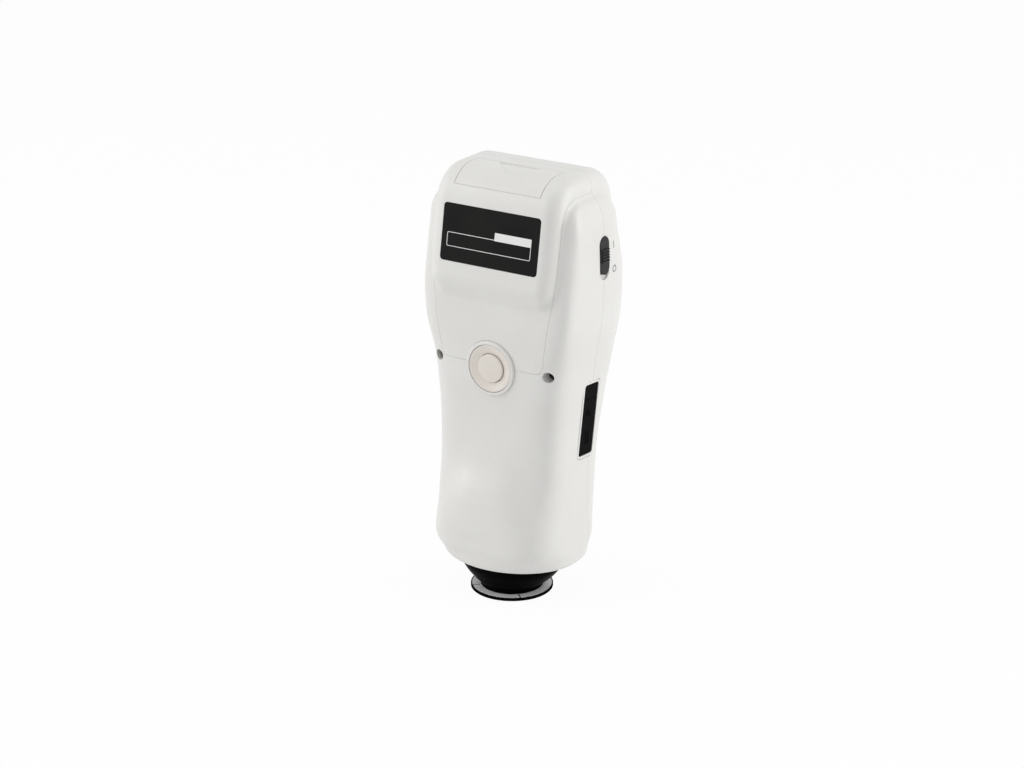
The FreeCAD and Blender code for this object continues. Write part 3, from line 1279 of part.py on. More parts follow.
def build():
    """Return every node of the assembly by name."""
    outside = housing_outside()
    hollow = outside.cut(body_form(WALL).fuse(head_block(WALL)))
    rear = hollow.common(half_space(False))
    nodes = {"front_shell": front_shell(hollow.common(half_space(True)), outside),
             "rear_shell": rear_shell(rear, outside), "rear_cover": rear_cover(rear, outside),
             "battery_door": battery_door(), "data_plate": data_plate(),
             "test_button_bezel": test_button_bezel(), "test_button_ring": test_button_ring(),
             "test_button": test_button(), "button_board": button_board(), "case_screws": case_screws(),
             "power_switch_knob": power_switch_knob(), "power_switch_body": power_switch_body(),
             "port_frame": port_frame(), "port_cover_anchor": port_cover_anchor(),
             "port_cover_flap": port_cover_flap(),
             "dc_socket": dc_socket(), "usb_socket": usb_socket(), "port_board": port_board(),
             "display_window": display_window(), "display_gasket": display_gasket(),
             "display_module": display_module(),
             "key_membrane": key_membrane(), "key_board": key_board(), "main_board": main_board(),
             "board_screws": board_screws(), "sounder": sounder(), "battery_tray": battery_tray(),
             "battery_pack": battery_pack(), "battery_contacts": battery_contacts(), "nose_cone": nose_cone(),
             "locating_plate": locating_plate(), "foot_ring": foot_ring(), "optical_base": optical_base(),
             "sphere_lower": sphere_lower(), "sphere_upper": sphere_upper(), "sphere_screws": sphere_screws(),
             "lamp_board": lamp_board(), "lens_barrel": lens_barrel(), "lens": lens(),
             "sensor_block": sensor_block(),
             "sensor_board": sensor_board()}
    for name, place in KEY_PLACES.items():
        nodes[name] = key(place)
    return nodes


os.makedirs("parts", exist_ok=True)
for node_name, node_shape in build().items():
    node_shape.exportStep("parts/" + node_name + ".step")
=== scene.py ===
import logging
import math
from dataclasses import dataclass, field
from enum import Enum

import bmesh
import bpy
from mathutils import Matrix, Vector
from mathutils.bvhtree import BVHTree


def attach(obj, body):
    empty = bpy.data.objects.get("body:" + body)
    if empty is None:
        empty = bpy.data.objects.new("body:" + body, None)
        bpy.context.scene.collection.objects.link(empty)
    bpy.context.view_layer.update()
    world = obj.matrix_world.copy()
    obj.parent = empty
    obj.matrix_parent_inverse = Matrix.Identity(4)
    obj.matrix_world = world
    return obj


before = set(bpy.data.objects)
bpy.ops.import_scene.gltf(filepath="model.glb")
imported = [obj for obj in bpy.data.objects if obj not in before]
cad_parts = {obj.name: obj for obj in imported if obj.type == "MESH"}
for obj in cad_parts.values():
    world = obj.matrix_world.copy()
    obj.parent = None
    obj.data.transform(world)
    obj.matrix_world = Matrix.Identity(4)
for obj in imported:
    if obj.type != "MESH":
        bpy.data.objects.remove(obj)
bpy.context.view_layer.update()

MM = 0.001
LOG = logging.getLogger("colour_meter")
Colour = tuple[float, float, float]
CORNER_STEPS = 6
RING_STEPS = 40
MERGE_SHARE = 0.001
FACE_AGREEMENT = 0.95
PLASTIC_IOR = 1.49
SOIL_GLOSS = 0.1
MIX_FACTOR = 0
MIX_FIRST = 6
MIX_SECOND = 7
MIX_COLOUR = 2


class Pattern(Enum):
    """The surface pattern that a finish is built from."""

    MOULD = "mould"
    TURNED = "turned"
    BRUSHED = "brushed"
    BOARD = "board"
    GLASS = "glass"


class Wiring:
    """Adds nodes to one node tree and joins their sockets."""

    def __init__(self, tree: bpy.types.NodeTree) -> None:
        """Keep the tree and clear what it starts with.

        Args:
            tree: The node tree to fill.
        """
        self.tree = tree
        tree.nodes.clear()

    def add(self, kind: str, **values: object) -> bpy.types.Node:
        """Add one node.

        Args:
            kind: The node's type name.
            values: Properties to set on it.

        Returns:
            The new node.
        """
        node = self.tree.nodes.new(kind)
        for name, value in values.items():
            setattr(node, name, value)
        return node

    def feed(self, node: bpy.types.Node, **inputs: object) -> bpy.types.Node:
        """Set or join a node's inputs by name, with spaces written as underscores.

        Args:
            node: The node whose inputs are set.
            inputs: A socket to join from, or a plain value, for each input.

        Returns:
            The same node.
        """
        for name, value in inputs.items():
            socket = node.inputs[name.replace("_", " ")]
            if isinstance(value, bpy.types.NodeSocket):
                self.tree.links.new(value, socket)
            else:
                socket.default_value = value
        return node

    def sum(self, operation: str, first: object, second: object) -> bpy.types.NodeSocket:
        """Add a Math node.

        Args:
            operation: The node's operation.
            first: The first socket or number.
            second: The second socket or number.

        Returns:
            The node's output.
        """
        node = self.add("ShaderNodeMath", operation=operation)
        for socket, value in zip(node.inputs, (first, second)):
            if isinstance(value, bpy.types.NodeSocket):
                self.tree.links.new(value, socket)
            else:
                socket.default_value = value
        return node.outputs[0]

    def spread(self, value: bpy.types.NodeSocket, low: float, high: float,
               start: float = 0.0, end: float = 1.0) -> bpy.types.NodeSocket:
        """Map a value from start..end to low..high, held at the ends.

        Args:
            value: The value to map.
            low: The result at start.
            high: The result at end.
            start: Where the range starts.
            end: Where the range ends.

        Returns:
            The mapped value.
        """
        node = self.add("ShaderNodeMapRange")
        self.feed(node, Value=value, From_Min=start, From_Max=end, To_Min=low, To_Max=high)
        return node.outputs["Result"]


class SurfaceGroups:
    """The effects that several finishes share, each built once as a node group."""

    pit_scale: float = 0.7
    pit_share: float = 0.35
    mottle_scale: float = 0.012
    foot_soil: float = 0.25
    head_soil: float = 0.35
    grip_rise: tuple[float, float] = (0.03, 0.075)
    grip_fall: tuple[float, float] = (0.13, 0.19)
    turned_cloud: float = 0.3
    brushed_cloud: float = 0.1
    brushed_squeeze: tuple[float, float, float] = (1.0, 1.0, 0.03)
    pad_scale: float = 1.6

    def __init__(self) -> None:
        """Start with no group built."""
        self.built: dict[str, bpy.types.NodeTree] = {}

    def start(self, name: str, inputs: dict[str, float],
              outputs: list[str]) -> tuple[Wiring, bpy.types.Node, dict]:
        """Make an empty group with a Vector input, number inputs and number outputs.

        Args:
            name: The group's name.
            inputs: Number inputs and their defaults.
            outputs: Number outputs.

        Returns:
            The group's wiring, its input node and its output node's sockets by name.
        """
        tree = bpy.data.node_groups.new(name, "ShaderNodeTree")
        tree.interface.new_socket("Vector", in_out="INPUT", socket_type="NodeSocketVector")
        for socket_name, default in inputs.items():
            socket = tree.interface.new_socket(socket_name, in_out="INPUT", socket_type="NodeSocketFloat")
            socket.default_value = default
        for socket_name in outputs:
            tree.interface.new_socket(socket_name, in_out="OUTPUT", socket_type="NodeSocketFloat")
        wiring = Wiring(tree)
        entry = wiring.add("NodeGroupInput")
        leave = wiring.add("NodeGroupOutput")
        self.built[name] = tree
        return wiring, entry, {socket.name: socket for socket in leave.inputs if socket.name}

    def mould_grain(self) -> bpy.types.NodeTree:
        """Return the fine spark-eroded grain of a mould and the slow mottle of moulded plastic."""
        if "mould_grain" in self.built:
            return self.built["mould_grain"]
        wiring, entry, leave = self.start("mould_grain", {"Scale": 3000.0}, ["Height", "Mottle"])
        scale = entry.outputs["Scale"]
        fine = wiring.add("ShaderNodeTexNoise")
        wiring.feed(fine, Vector=entry.outputs["Vector"], Scale=scale, Detail=3.0, Roughness=0.6)
        pits = wiring.add("ShaderNodeTexVoronoi", feature="SMOOTH_F1")
        wiring.feed(pits, Vector=entry.outputs["Vector"], Scale=wiring.sum("MULTIPLY", scale, self.pit_scale))
        height = wiring.sum("ADD", wiring.sum("MULTIPLY", fine.outputs[0], 1.0 - self.pit_share),
                            wiring.sum("MULTIPLY", pits.outputs["Distance"], self.pit_share))
        slow = wiring.add("ShaderNodeTexNoise")
        slow_scale = wiring.sum("MULTIPLY", scale, self.mottle_scale)
        wiring.feed(slow, Vector=entry.outputs["Vector"], Scale=slow_scale, Detail=4.0)
        wiring.tree.links.new(height, leave["Height"])
        wiring.tree.links.new(wiring.spread(slow.outputs[0], 0.0, 1.0, 0.3, 0.7), leave["Mottle"])
        return wiring.tree

    def handling(self) -> bpy.types.NodeTree:
        """Return the faint smudges that hands leave, strongest on the grip's height."""
        if "handling" in self.built:
            return self.built["handling"]
        wiring, entry, leave = self.start("handling", {"Scale": 40.0}, ["Smudge"])
        cloud = wiring.add("ShaderNodeTexNoise")
        wiring.feed(cloud, Vector=entry.outputs["Vector"], Scale=entry.outputs["Scale"], Detail=6.0,
                    Roughness=0.65, Distortion=0.8)
        apart = wiring.add("ShaderNodeSeparateXYZ")
        wiring.feed(apart, Vector=entry.outputs["Vector"])
        rise = wiring.spread(apart.outputs["Z"], self.foot_soil, 1.0, *self.grip_rise)
        fall = wiring.spread(apart.outputs["Z"], 1.0, self.head_soil, *self.grip_fall)
        band = wiring.sum("MULTIPLY", rise, fall)
        mask = wiring.sum("MULTIPLY", wiring.spread(cloud.outputs[0], 0.0, 1.0, 0.42, 0.72), band)
        wiring.tree.links.new(mask, leave["Smudge"])
        return wiring.tree

    def turned_rings(self) -> bpy.types.NodeTree:
        """Return the fine rings that a lathe leaves about the measuring axis."""
        if "turned_rings" in self.built:
            return self.built["turned_rings"]
        wiring, entry, leave = self.start("turned_rings", {"Scale": 900.0}, ["Height", "Mottle"])
        rings = wiring.add("ShaderNodeTexWave", wave_type="RINGS", rings_direction="Z")
        wiring.feed(rings, Vector=entry.outputs["Vector"], Scale=entry.outputs["Scale"], Distortion=1.5,
                    Detail=3.0, Detail_Scale=2.0)
        cloud = wiring.add("ShaderNodeTexNoise")
        cloud_scale = wiring.sum("MULTIPLY", entry.outputs["Scale"], self.turned_cloud)
        wiring.feed(cloud, Vector=entry.outputs["Vector"], Scale=cloud_scale, Detail=4.0)
        wiring.tree.links.new(rings.outputs["Fac"], leave["Height"])
        wiring.tree.links.new(wiring.spread(cloud.outputs[0], 0.0, 1.0, 0.35, 0.65), leave["Mottle"])
        return wiring.tree

    def brushed_lines(self) -> bpy.types.NodeTree:
        """Return drawn lines along the height, as on rolled sheet metal."""
        if "brushed_lines" in self.built:
            return self.built["brushed_lines"]
        wiring, entry, leave = self.start("brushed_lines", {"Scale": 2500.0}, ["Height", "Mottle"])
        squeeze = wiring.add("ShaderNodeMapping")
        wiring.feed(squeeze, Vector=entry.outputs["Vector"])
        squeeze.inputs["Scale"].default_value = self.brushed_squeeze
        lines = wiring.add("ShaderNodeTexNoise")
        wiring.feed(lines, Vector=squeeze.outputs["Vector"], Scale=entry.outputs["Scale"], Detail=2.0)
        cloud = wiring.add("ShaderNodeTexNoise")
        cloud_scale = wiring.sum("MULTIPLY", entry.outputs["Scale"], self.brushed_cloud)
        wiring.feed(cloud, Vector=entry.outputs["Vector"], Scale=cloud_scale, Detail=4.0)
        wiring.tree.links.new(lines.outputs[0], leave["Height"])
        wiring.tree.links.new(wiring.spread(cloud.outputs[0], 0.0, 1.0, 0.35, 0.65), leave["Mottle"])
        return wiring.tree

    def board_traces(self) -> bpy.types.NodeTree:
        """Return the copper traces that show faintly through solder mask."""
        if "board_traces" in self.built:
            return self.built["board_traces"]
        wiring, entry, leave = self.start("board_traces", {"Scale": 260.0}, ["Height", "Mottle"])
        cells = wiring.add("ShaderNodeTexVoronoi", distance="CHEBYCHEV", feature="DISTANCE_TO_EDGE")
        wiring.feed(cells, Vector=entry.outputs["Vector"], Scale=entry.outputs["Scale"])
        lines = wiring.spread(cells.outputs["Distance"], 1.0, 0.0, 0.06, 0.1)
        pads = wiring.add("ShaderNodeTexVoronoi", feature="F1")
        pad_scale = wiring.sum("MULTIPLY", entry.outputs["Scale"], self.pad_scale)
        wiring.feed(pads, Vector=entry.outputs["Vector"], Scale=pad_scale)
        dots = wiring.spread(pads.outputs["Distance"], 1.0, 0.0, 0.16, 0.2)
        marks = wiring.sum("MAXIMUM", lines, dots)
        wiring.tree.links.new(marks, leave["Height"])
        wiring.tree.links.new(marks, leave["Mottle"])
        return wiring.tree


@dataclass(frozen=True)
class Finish:
    """One finish: two close tones, a roughness range and the scale and depth of its surface pattern."""

    name: str
    tone: Colour
    shade: Colour
    roughness: tuple[float, float] = (0.4, 0.5)
    grain_scale: float = 3000.0
    grain_depth: float = 0.00002
    bump: float = 0.2
    specular: float = 0.5
    metallic: float = 0.0
    handled: float = 0.0
    pattern: Pattern = Pattern.MOULD

    def material(self, groups: SurfaceGroups) -> bpy.types.Material:
        """Build the finish's material.

        Args:
            groups: The shared surface effects.

        Returns:
            The material, or the one made before under the same name.
        """
        made = bpy.data.materials.get(self.name)
        if made:
            return made
        made = bpy.data.materials.new(self.name)
        made.use_nodes = True
        wiring = Wiring(made.node_tree)
        place = wiring.add("ShaderNodeTexCoord").outputs["Object"]
        pattern = wiring.add("ShaderNodeGroup")
        pattern.node_tree = self.pattern_tree(groups)
        wiring.feed(pattern, Vector=place, Scale=self.grain_scale)
        shader = wiring.add("ShaderNodeBsdfPrincipled")
        mix = wiring.add("ShaderNodeMix", data_type="RGBA")
        mix.inputs[MIX_FIRST].default_value = (*self.tone, 1.0)
        mix.inputs[MIX_SECOND].default_value = (*self.shade, 1.0)
        mask = pattern.outputs["Mottle"]
        rough = wiring.spread(mask, *self.roughness)
        if self.handled:
            smudge = wiring.add("ShaderNodeGroup")
            smudge.node_tree = groups.handling()
            wiring.feed(smudge, Vector=place)
            soil = wiring.sum("MULTIPLY", smudge.outputs["Smudge"], self.handled)
            mask = wiring.sum("MINIMUM", wiring.sum("ADD", mask, soil), 1.0)
            rough = wiring.sum("SUBTRACT", rough, wiring.sum("MULTIPLY", soil, SOIL_GLOSS))
        wiring.tree.links.new(mask, mix.inputs[MIX_FACTOR])
        bump = wiring.add("ShaderNodeBump")
        wiring.feed(bump, Height=pattern.outputs["Height"], Strength=self.bump, Distance=self.grain_depth)
        wiring.feed(shader, Base_Color=mix.outputs[MIX_COLOUR], Roughness=rough,
                    Normal=bump.outputs["Normal"], Metallic=self.metallic)
        shader.inputs["Specular IOR Level"].default_value = self.specular
        self.clear(shader)
        leave = wiring.add("ShaderNodeOutputMaterial")
        wiring.tree.links.new(shader.outputs["BSDF"], leave.inputs["Surface"])
        return made

    def clear(self, shader: bpy.types.Node) -> None:
        """Make a glass finish let light through.

        Args:
            shader: The finish's shader node.
        """
        if self.pattern is Pattern.GLASS:
            shader.inputs["Transmission Weight"].default_value = 1.0
            shader.inputs["IOR"].default_value = PLASTIC_IOR

    def pattern_tree(self, groups: SurfaceGroups) -> bpy.types.NodeTree:
        """Return the node group of this finish's pattern.

        Args:
            groups: The shared surface effects.

        Returns:
            The group's node tree.
        """
        if self.pattern is Pattern.TURNED:
            return groups.turned_rings()
        if self.pattern is Pattern.BRUSHED:
            return groups.brushed_lines()
        if self.pattern is Pattern.BOARD:
            return groups.board_traces()
        return groups.mould_grain()


class Finishes(Enum):
    """Every finish of the instrument."""

    HOUSING_WHITE = Finish("housing_white_satin", (0.79, 0.785, 0.765), (0.765, 0.757, 0.733),
                           roughness=(0.36, 0.44), grain_scale=2600.0, grain_depth=0.00003, bump=0.16,
                           handled=0.35)
    BUTTON_CREAM = Finish("button_cream_satin", (0.79, 0.745, 0.69), (0.76, 0.71, 0.65),
                          roughness=(0.34, 0.42), grain_scale=2600.0)
    PLATE_BLACK = Finish("plate_black_film", (0.008, 0.008, 0.008), (0.012, 0.0117, 0.011),
                         roughness=(0.36, 0.44), grain_scale=5200.0, grain_depth=0.00001, bump=0.15,
                         specular=0.09)
    PRINT_WHITE = Finish("plate_white_print", (0.84, 0.84, 0.83), (0.8, 0.8, 0.79), roughness=(0.42, 0.5),
                         grain_scale=5200.0, grain_depth=0.00001)
    PRINT_GREY = Finish("mark_grey_print", (0.16, 0.16, 0.16), (0.19, 0.19, 0.19), roughness=(0.45, 0.55),
                        grain_scale=5200.0, grain_depth=0.00001)
    BLACK_PLASTIC = Finish("black_satin_plastic", (0.001, 0.001, 0.0011), (0.0017, 0.0017, 0.0018),
                           roughness=(0.34, 0.42), grain_scale=2400.0, grain_depth=0.00003, bump=0.2,
                           specular=0.01)
    FOOT_RUBBER = Finish("foot_black_rubber", (0.0025, 0.0025, 0.0025), (0.004, 0.004, 0.004),
                         roughness=(0.6, 0.7), grain_scale=2000.0, grain_depth=0.00004, bump=0.3,
                         specular=0.0)
    SWITCH_GREY = Finish("switch_dark_plastic", (0.024, 0.024, 0.0245), (0.03, 0.03, 0.0305),
                         roughness=(0.46, 0.54), grain_scale=2400.0, grain_depth=0.00003, bump=0.25,
                         specular=0.14)
    BLACK_RUBBER = Finish("black_matt_rubber", (0.004, 0.004, 0.004), (0.007, 0.007, 0.007),
                          roughness=(0.56, 0.66), grain_scale=2000.0, grain_depth=0.00004, bump=0.3,
                          specular=0.02)
    LOCATOR_METAL = Finish("locator_turned_metal", (0.93, 0.93, 0.935), (0.84, 0.845, 0.85),
                           roughness=(0.42, 0.52), grain_scale=450.0, grain_depth=0.00001, bump=0.2,
                           metallic=0.1, pattern=Pattern.TURNED)
    SCREW_BLACK = Finish("screw_black_oxide", (0.012, 0.012, 0.0125), (0.02, 0.02, 0.0205),
                         roughness=(0.4, 0.5), grain_scale=2500.0, grain_depth=0.00001, bump=0.2,
                         specular=0.2, metallic=0.5, pattern=Pattern.BRUSHED)
    SCREW_STEEL = Finish("screw_plated_steel", (0.42, 0.42, 0.43), (0.34, 0.34, 0.35),
                         roughness=(0.28, 0.4), grain_scale=2500.0, grain_depth=0.00001, bump=0.2,
                         metallic=1.0, pattern=Pattern.BRUSHED)
    SOCKET_METAL = Finish("socket_sheet_steel", (0.55, 0.55, 0.56), (0.47, 0.47, 0.48),
                          roughness=(0.26, 0.36), grain_scale=2500.0, grain_depth=0.00001, bump=0.2,
                          metallic=1.0, pattern=Pattern.BRUSHED)
    CONTACT_BRASS = Finish("contact_spring_brass", (0.72, 0.55, 0.25), (0.62, 0.46, 0.2),
                           roughness=(0.24, 0.34), grain_scale=2500.0, grain_depth=0.00001, bump=0.2,
                           metallic=1.0, pattern=Pattern.BRUSHED)
    BASE_METAL = Finish("base_machined_metal", (0.55, 0.56, 0.57), (0.48, 0.49, 0.5), roughness=(0.3, 0.42),
                        grain_scale=450.0, grain_depth=0.00001, bump=0.25, metallic=1.0,
                        pattern=Pattern.TURNED)
    WINDOW_CLEAR = Finish("window_clear_plastic", (0.94, 0.95, 0.955), (0.92, 0.93, 0.935),
                          roughness=(0.02, 0.05), grain_scale=400.0, grain_depth=0.000001, bump=0.03,
                          pattern=Pattern.GLASS)
    WINDOW_BORDER = Finish("window_black_border", (0.006, 0.006, 0.0065), (0.009, 0.009, 0.0095),
                           roughness=(0.06, 0.1), grain_scale=1200.0, grain_depth=0.000002, bump=0.1)
    SCREEN_DARK = Finish("screen_dark_glass", (0.02, 0.024, 0.026), (0.024, 0.028, 0.031),
                         roughness=(0.14, 0.18), grain_scale=700.0, grain_depth=0.000001, bump=0.03)
    BOARD_GREEN = Finish("board_green_mask", (0.012, 0.11, 0.045), (0.03, 0.19, 0.075),
                         roughness=(0.3, 0.4), grain_scale=260.0, grain_depth=0.00003, bump=0.4,
                         pattern=Pattern.BOARD)
    INNER_BLACK = Finish("inner_black_plastic", (0.018, 0.018, 0.018), (0.025, 0.025, 0.025),
                         roughness=(0.55, 0.65), grain_scale=2200.0)
    INNER_GREY = Finish("inner_grey_plastic", (0.3, 0.3, 0.31), (0.27, 0.27, 0.28), roughness=(0.5, 0.6),
                        grain_scale=2200.0)
    SPHERE_WHITE = Finish("sphere_diffuse_white", (0.88, 0.88, 0.87), (0.85, 0.85, 0.84),
                          roughness=(0.85, 0.95), grain_scale=3600.0, grain_depth=0.00004, bump=0.3,
                          specular=0.2)
    BATTERY_WRAP = Finish("battery_shrink_film", (0.03, 0.06, 0.16), (0.04, 0.075, 0.19),
                          roughness=(0.2, 0.3), grain_scale=900.0, grain_depth=0.00002, bump=0.3)
    KEY_GREY = Finish("key_grey_rubber", (0.2, 0.215, 0.235), (0.18, 0.195, 0.215), roughness=(0.5, 0.6),
                      grain_scale=2600.0, grain_depth=0.00003, bump=0.2)


NODE_FINISHES: dict[str, Finishes] = {
    "front_shell": Finishes.HOUSING_WHITE, "rear_shell": Finishes.HOUSING_WHITE,
    "rear_cover": Finishes.HOUSING_WHITE, "battery_door": Finishes.HOUSING_WHITE,
    "test_button_bezel": Finishes.HOUSING_WHITE, "port_frame": Finishes.HOUSING_WHITE,
    "data_plate": Finishes.PLATE_BLACK, "test_button_ring": Finishes.BUTTON_CREAM,
    "test_button": Finishes.BUTTON_CREAM, "button_board": Finishes.BOARD_GREEN,
    "case_screws": Finishes.SCREW_BLACK,
    "power_switch_knob": Finishes.SWITCH_GREY, "power_switch_body": Finishes.INNER_BLACK,
    "port_cover_anchor": Finishes.BLACK_RUBBER, "port_cover_flap": Finishes.BLACK_RUBBER,
    "dc_socket": Finishes.INNER_BLACK, "usb_socket": Finishes.SOCKET_METAL,
    "port_board": Finishes.BOARD_GREEN,
    "display_window": Finishes.WINDOW_CLEAR, "display_gasket": Finishes.BLACK_RUBBER,
    "display_module": Finishes.SCREEN_DARK, "key_membrane": Finishes.BLACK_RUBBER,
    "key_board": Finishes.BOARD_GREEN, "main_board": Finishes.BOARD_GREEN,
    "board_screws": Finishes.SCREW_STEEL,
    "sounder": Finishes.INNER_BLACK, "battery_tray": Finishes.INNER_GREY,
    "battery_pack": Finishes.BATTERY_WRAP,
    "battery_contacts": Finishes.CONTACT_BRASS, "nose_cone": Finishes.BLACK_PLASTIC,
    "locating_plate": Finishes.LOCATOR_METAL, "foot_ring": Finishes.FOOT_RUBBER,
    "optical_base": Finishes.BASE_METAL, "sphere_lower": Finishes.SPHERE_WHITE,
    "sphere_upper": Finishes.SPHERE_WHITE, "sphere_screws": Finishes.SCREW_STEEL,
    "lamp_board": Finishes.BOARD_GREEN, "lens_barrel": Finishes.INNER_BLACK, "lens": Finishes.WINDOW_CLEAR,
    "sensor_block": Finishes.INNER_BLACK, "sensor_board": Finishes.BOARD_GREEN, "menu_key": Finishes.KEY_GREY,
    "back_key": Finishes.KEY_GREY, "enter_key": Finishes.KEY_GREY, "up_key": Finishes.KEY_GREY,
    "down_key": Finishes.KEY_GREY,
}


@dataclass(frozen=True)
class Face:
    """A flat face of a CAD node: its middle, its right, up and outward directions and its size in metres."""

    middle: Vector
    right: Vector
    up: Vector
    outward: Vector
    width: float
    height: float

    def at(self, across: float, along: float, proud: float = 0.0) -> Matrix:
        """Return the placement of a piece on the face.

        Args:
            across: Metres to the right of the middle.
            along: Metres above the middle.
            proud: Metres out of the face.

        Returns:
            A matrix whose X, Y and Z run right, up and outward.
        """
        place = self.middle + self.right * across + self.up * along + self.outward * proud
        turn = Matrix((self.right, self.up, self.outward)).transposed().to_4x4()
        return Matrix.Translation(place) @ turn


def outer_face(node: str, towards: Vector, depth: float = 0.1 * MM) -> Face:
    """Find a CAD node's outermost flat face on one side.

    Args:
        node: The node's name.
        towards: The rough outward direction.
        depth: How far under the outermost point the face may reach.

    Returns:
        The face, with its up direction as near to +Z as the face allows.
    """
    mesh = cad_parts[node].data
    total = Vector()
    for polygon in mesh.polygons:
        if polygon.normal.dot(towards) > FACE_AGREEMENT:
            total += polygon.normal * polygon.area
    outward = total.normalized()
    top = max(vertex.co.dot(outward) for vertex in mesh.vertices)
    on_face = [vertex.co for vertex in mesh.vertices if vertex.co.dot(outward) > top - depth]
    right = Vector((0, 0, 1)).cross(outward).normalized()
    up = outward.cross(right)
    across = [point.dot(right) for point in on_face]
    along = [point.dot(up) for point in on_face]
    middle = right * (min(across) + max(across)) / 2 + up * (min(along) + max(along)) / 2 + outward * top
    return Face(middle, right, up, outward, max(across) - min(across), max(along) - min(along))


def skin_face(node: str, start: Vector, way: Vector) -> Face:
    """Find the point where a line meets a CAD node's curved skin, as a small flat face.

    Args:
        node: The node's name.
        start: A point outside the node.
        way: The direction of the line.

    Returns:
        A face of no size at the point, square to the skin.
    """
    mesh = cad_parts[node].data
    tree = BVHTree.FromPolygons([v.co for v in mesh.vertices], [p.vertices for p in mesh.polygons])
    point, normal, _, _ = tree.ray_cast(start, way.normalized())
    outward = normal if normal.dot(way) < 0 else -normal
    right = Vector((0, 0, 1)).cross(outward).normalized()
    return Face(point, right, outward.cross(right), outward, 0.0, 0.0)


def bar(width: float, height: float, thick: float, corner: float = 0.0) -> bmesh.types.BMesh:
    """Model a flat bar with rounded corners, its underside at Z 0.

    Args:
        width: Its size along X.
        height: Its size along Y.
        thick: Its size along Z.
        corner: The radius of its corners.

    Returns:
        The bar's mesh.
    """
    mesh = bmesh.new()
    bmesh.ops.create_cube(mesh, size=1.0)
    bmesh.ops.scale(mesh, vec=(width, height, thick), verts=mesh.verts)
    bmesh.ops.translate(mesh, vec=(0, 0, thick / 2), verts=mesh.verts)
    if corner:
        upright = [edge for edge in mesh.edges if abs(edge.verts[0].co.z - edge.verts[1].co.z) > thick / 2]
        bmesh.ops.bevel(mesh, geom=upright, offset=corner, affect="EDGES", segments=CORNER_STEPS,
                        profile=0.5, material=-1)
    return mesh


def outline(width: float, height: float, line: float, thick: float, corner: float) -> bmesh.types.BMesh:
    """Model a flat rectangular outline with rounded corners, its underside at Z 0.

    Args:
        width: Its outer size along X.
        height: Its outer size along Y.
        line: The width of its line.
        thick: Its size along Z.
        corner: The outer radius of its corners.

    Returns:
        The outline's mesh.
    """
    mesh = bmesh.new()
    bmesh.ops.create_grid(mesh, x_segments=1, y_segments=1, size=0.5)
    bmesh.ops.scale(mesh, vec=(width, height, 1), verts=mesh.verts)
    bmesh.ops.bevel(mesh, geom=mesh.verts[:], offset=corner, affect="VERTICES", segments=CORNER_STEPS,
                    profile=0.5, material=-1)
    inner = mesh.faces[:]
    bmesh.ops.inset_region(mesh, faces=inner, thickness=line, use_even_offset=True, use_boundary=True)
    bmesh.ops.delete(mesh, geom=inner, context="FACES")
    raised = bmesh.ops.extrude_face_region(mesh, geom=mesh.faces[:])
    lifted = [item for item in raised["geom"] if isinstance(item, bmesh.types.BMVert)]
    bmesh.ops.translate(mesh, vec=(0, 0, thick), verts=lifted)
    return mesh


def ring(outer: float, inner: float, thick: float) -> bmesh.types.BMesh:
    """Model a flat ring, its underside at Z 0.

    Args:
        outer: The outer radius.
        inner: The inner radius.
        thick: Its size along Z.

    Returns:
        The ring's mesh.
    """
    mesh = bmesh.new()
    places = ((inner, 0, 0), (outer, 0, 0), (outer, 0, thick), (inner, 0, thick))
    corners = [mesh.verts.new(place) for place in places]
    edges = [mesh.edges.new((corners[step - 1], corners[step])) for step in range(4)]
    bmesh.ops.spin(mesh, geom=corners + edges, cent=(0, 0, 0), axis=(0, 0, 1), angle=math.tau,
                   steps=RING_STEPS, use_merge=True)
    bmesh.ops.remove_doubles(mesh, verts=mesh.verts, dist=inner * MERGE_SHARE)
    return mesh


def pointer(size: float, thick: float, turn: float = 0.0) -> bmesh.types.BMesh:
    """Model a flat three-cornered pointer, its underside at Z 0.

    Args:
        size: The distance from its middle to a corner.
        thick: Its size along Z.
        turn: How far it is turned from pointing up, in degrees.

    Returns:
        The pointer's mesh.
    """
    mesh = bmesh.new()
    bmesh.ops.create_circle(mesh, cap_ends=True, radius=size, segments=3)
    raised = bmesh.ops.extrude_face_region(mesh, geom=mesh.faces[:])
    lifted = [item for item in raised["geom"] if isinstance(item, bmesh.types.BMVert)]
    bmesh.ops.translate(mesh, vec=(0, 0, thick), verts=lifted)
    spin = Matrix.Rotation(math.radians(turn), 3, "Z")
    bmesh.ops.rotate(mesh, cent=(0, 0, 0), matrix=spin, verts=mesh.verts)
    return mesh


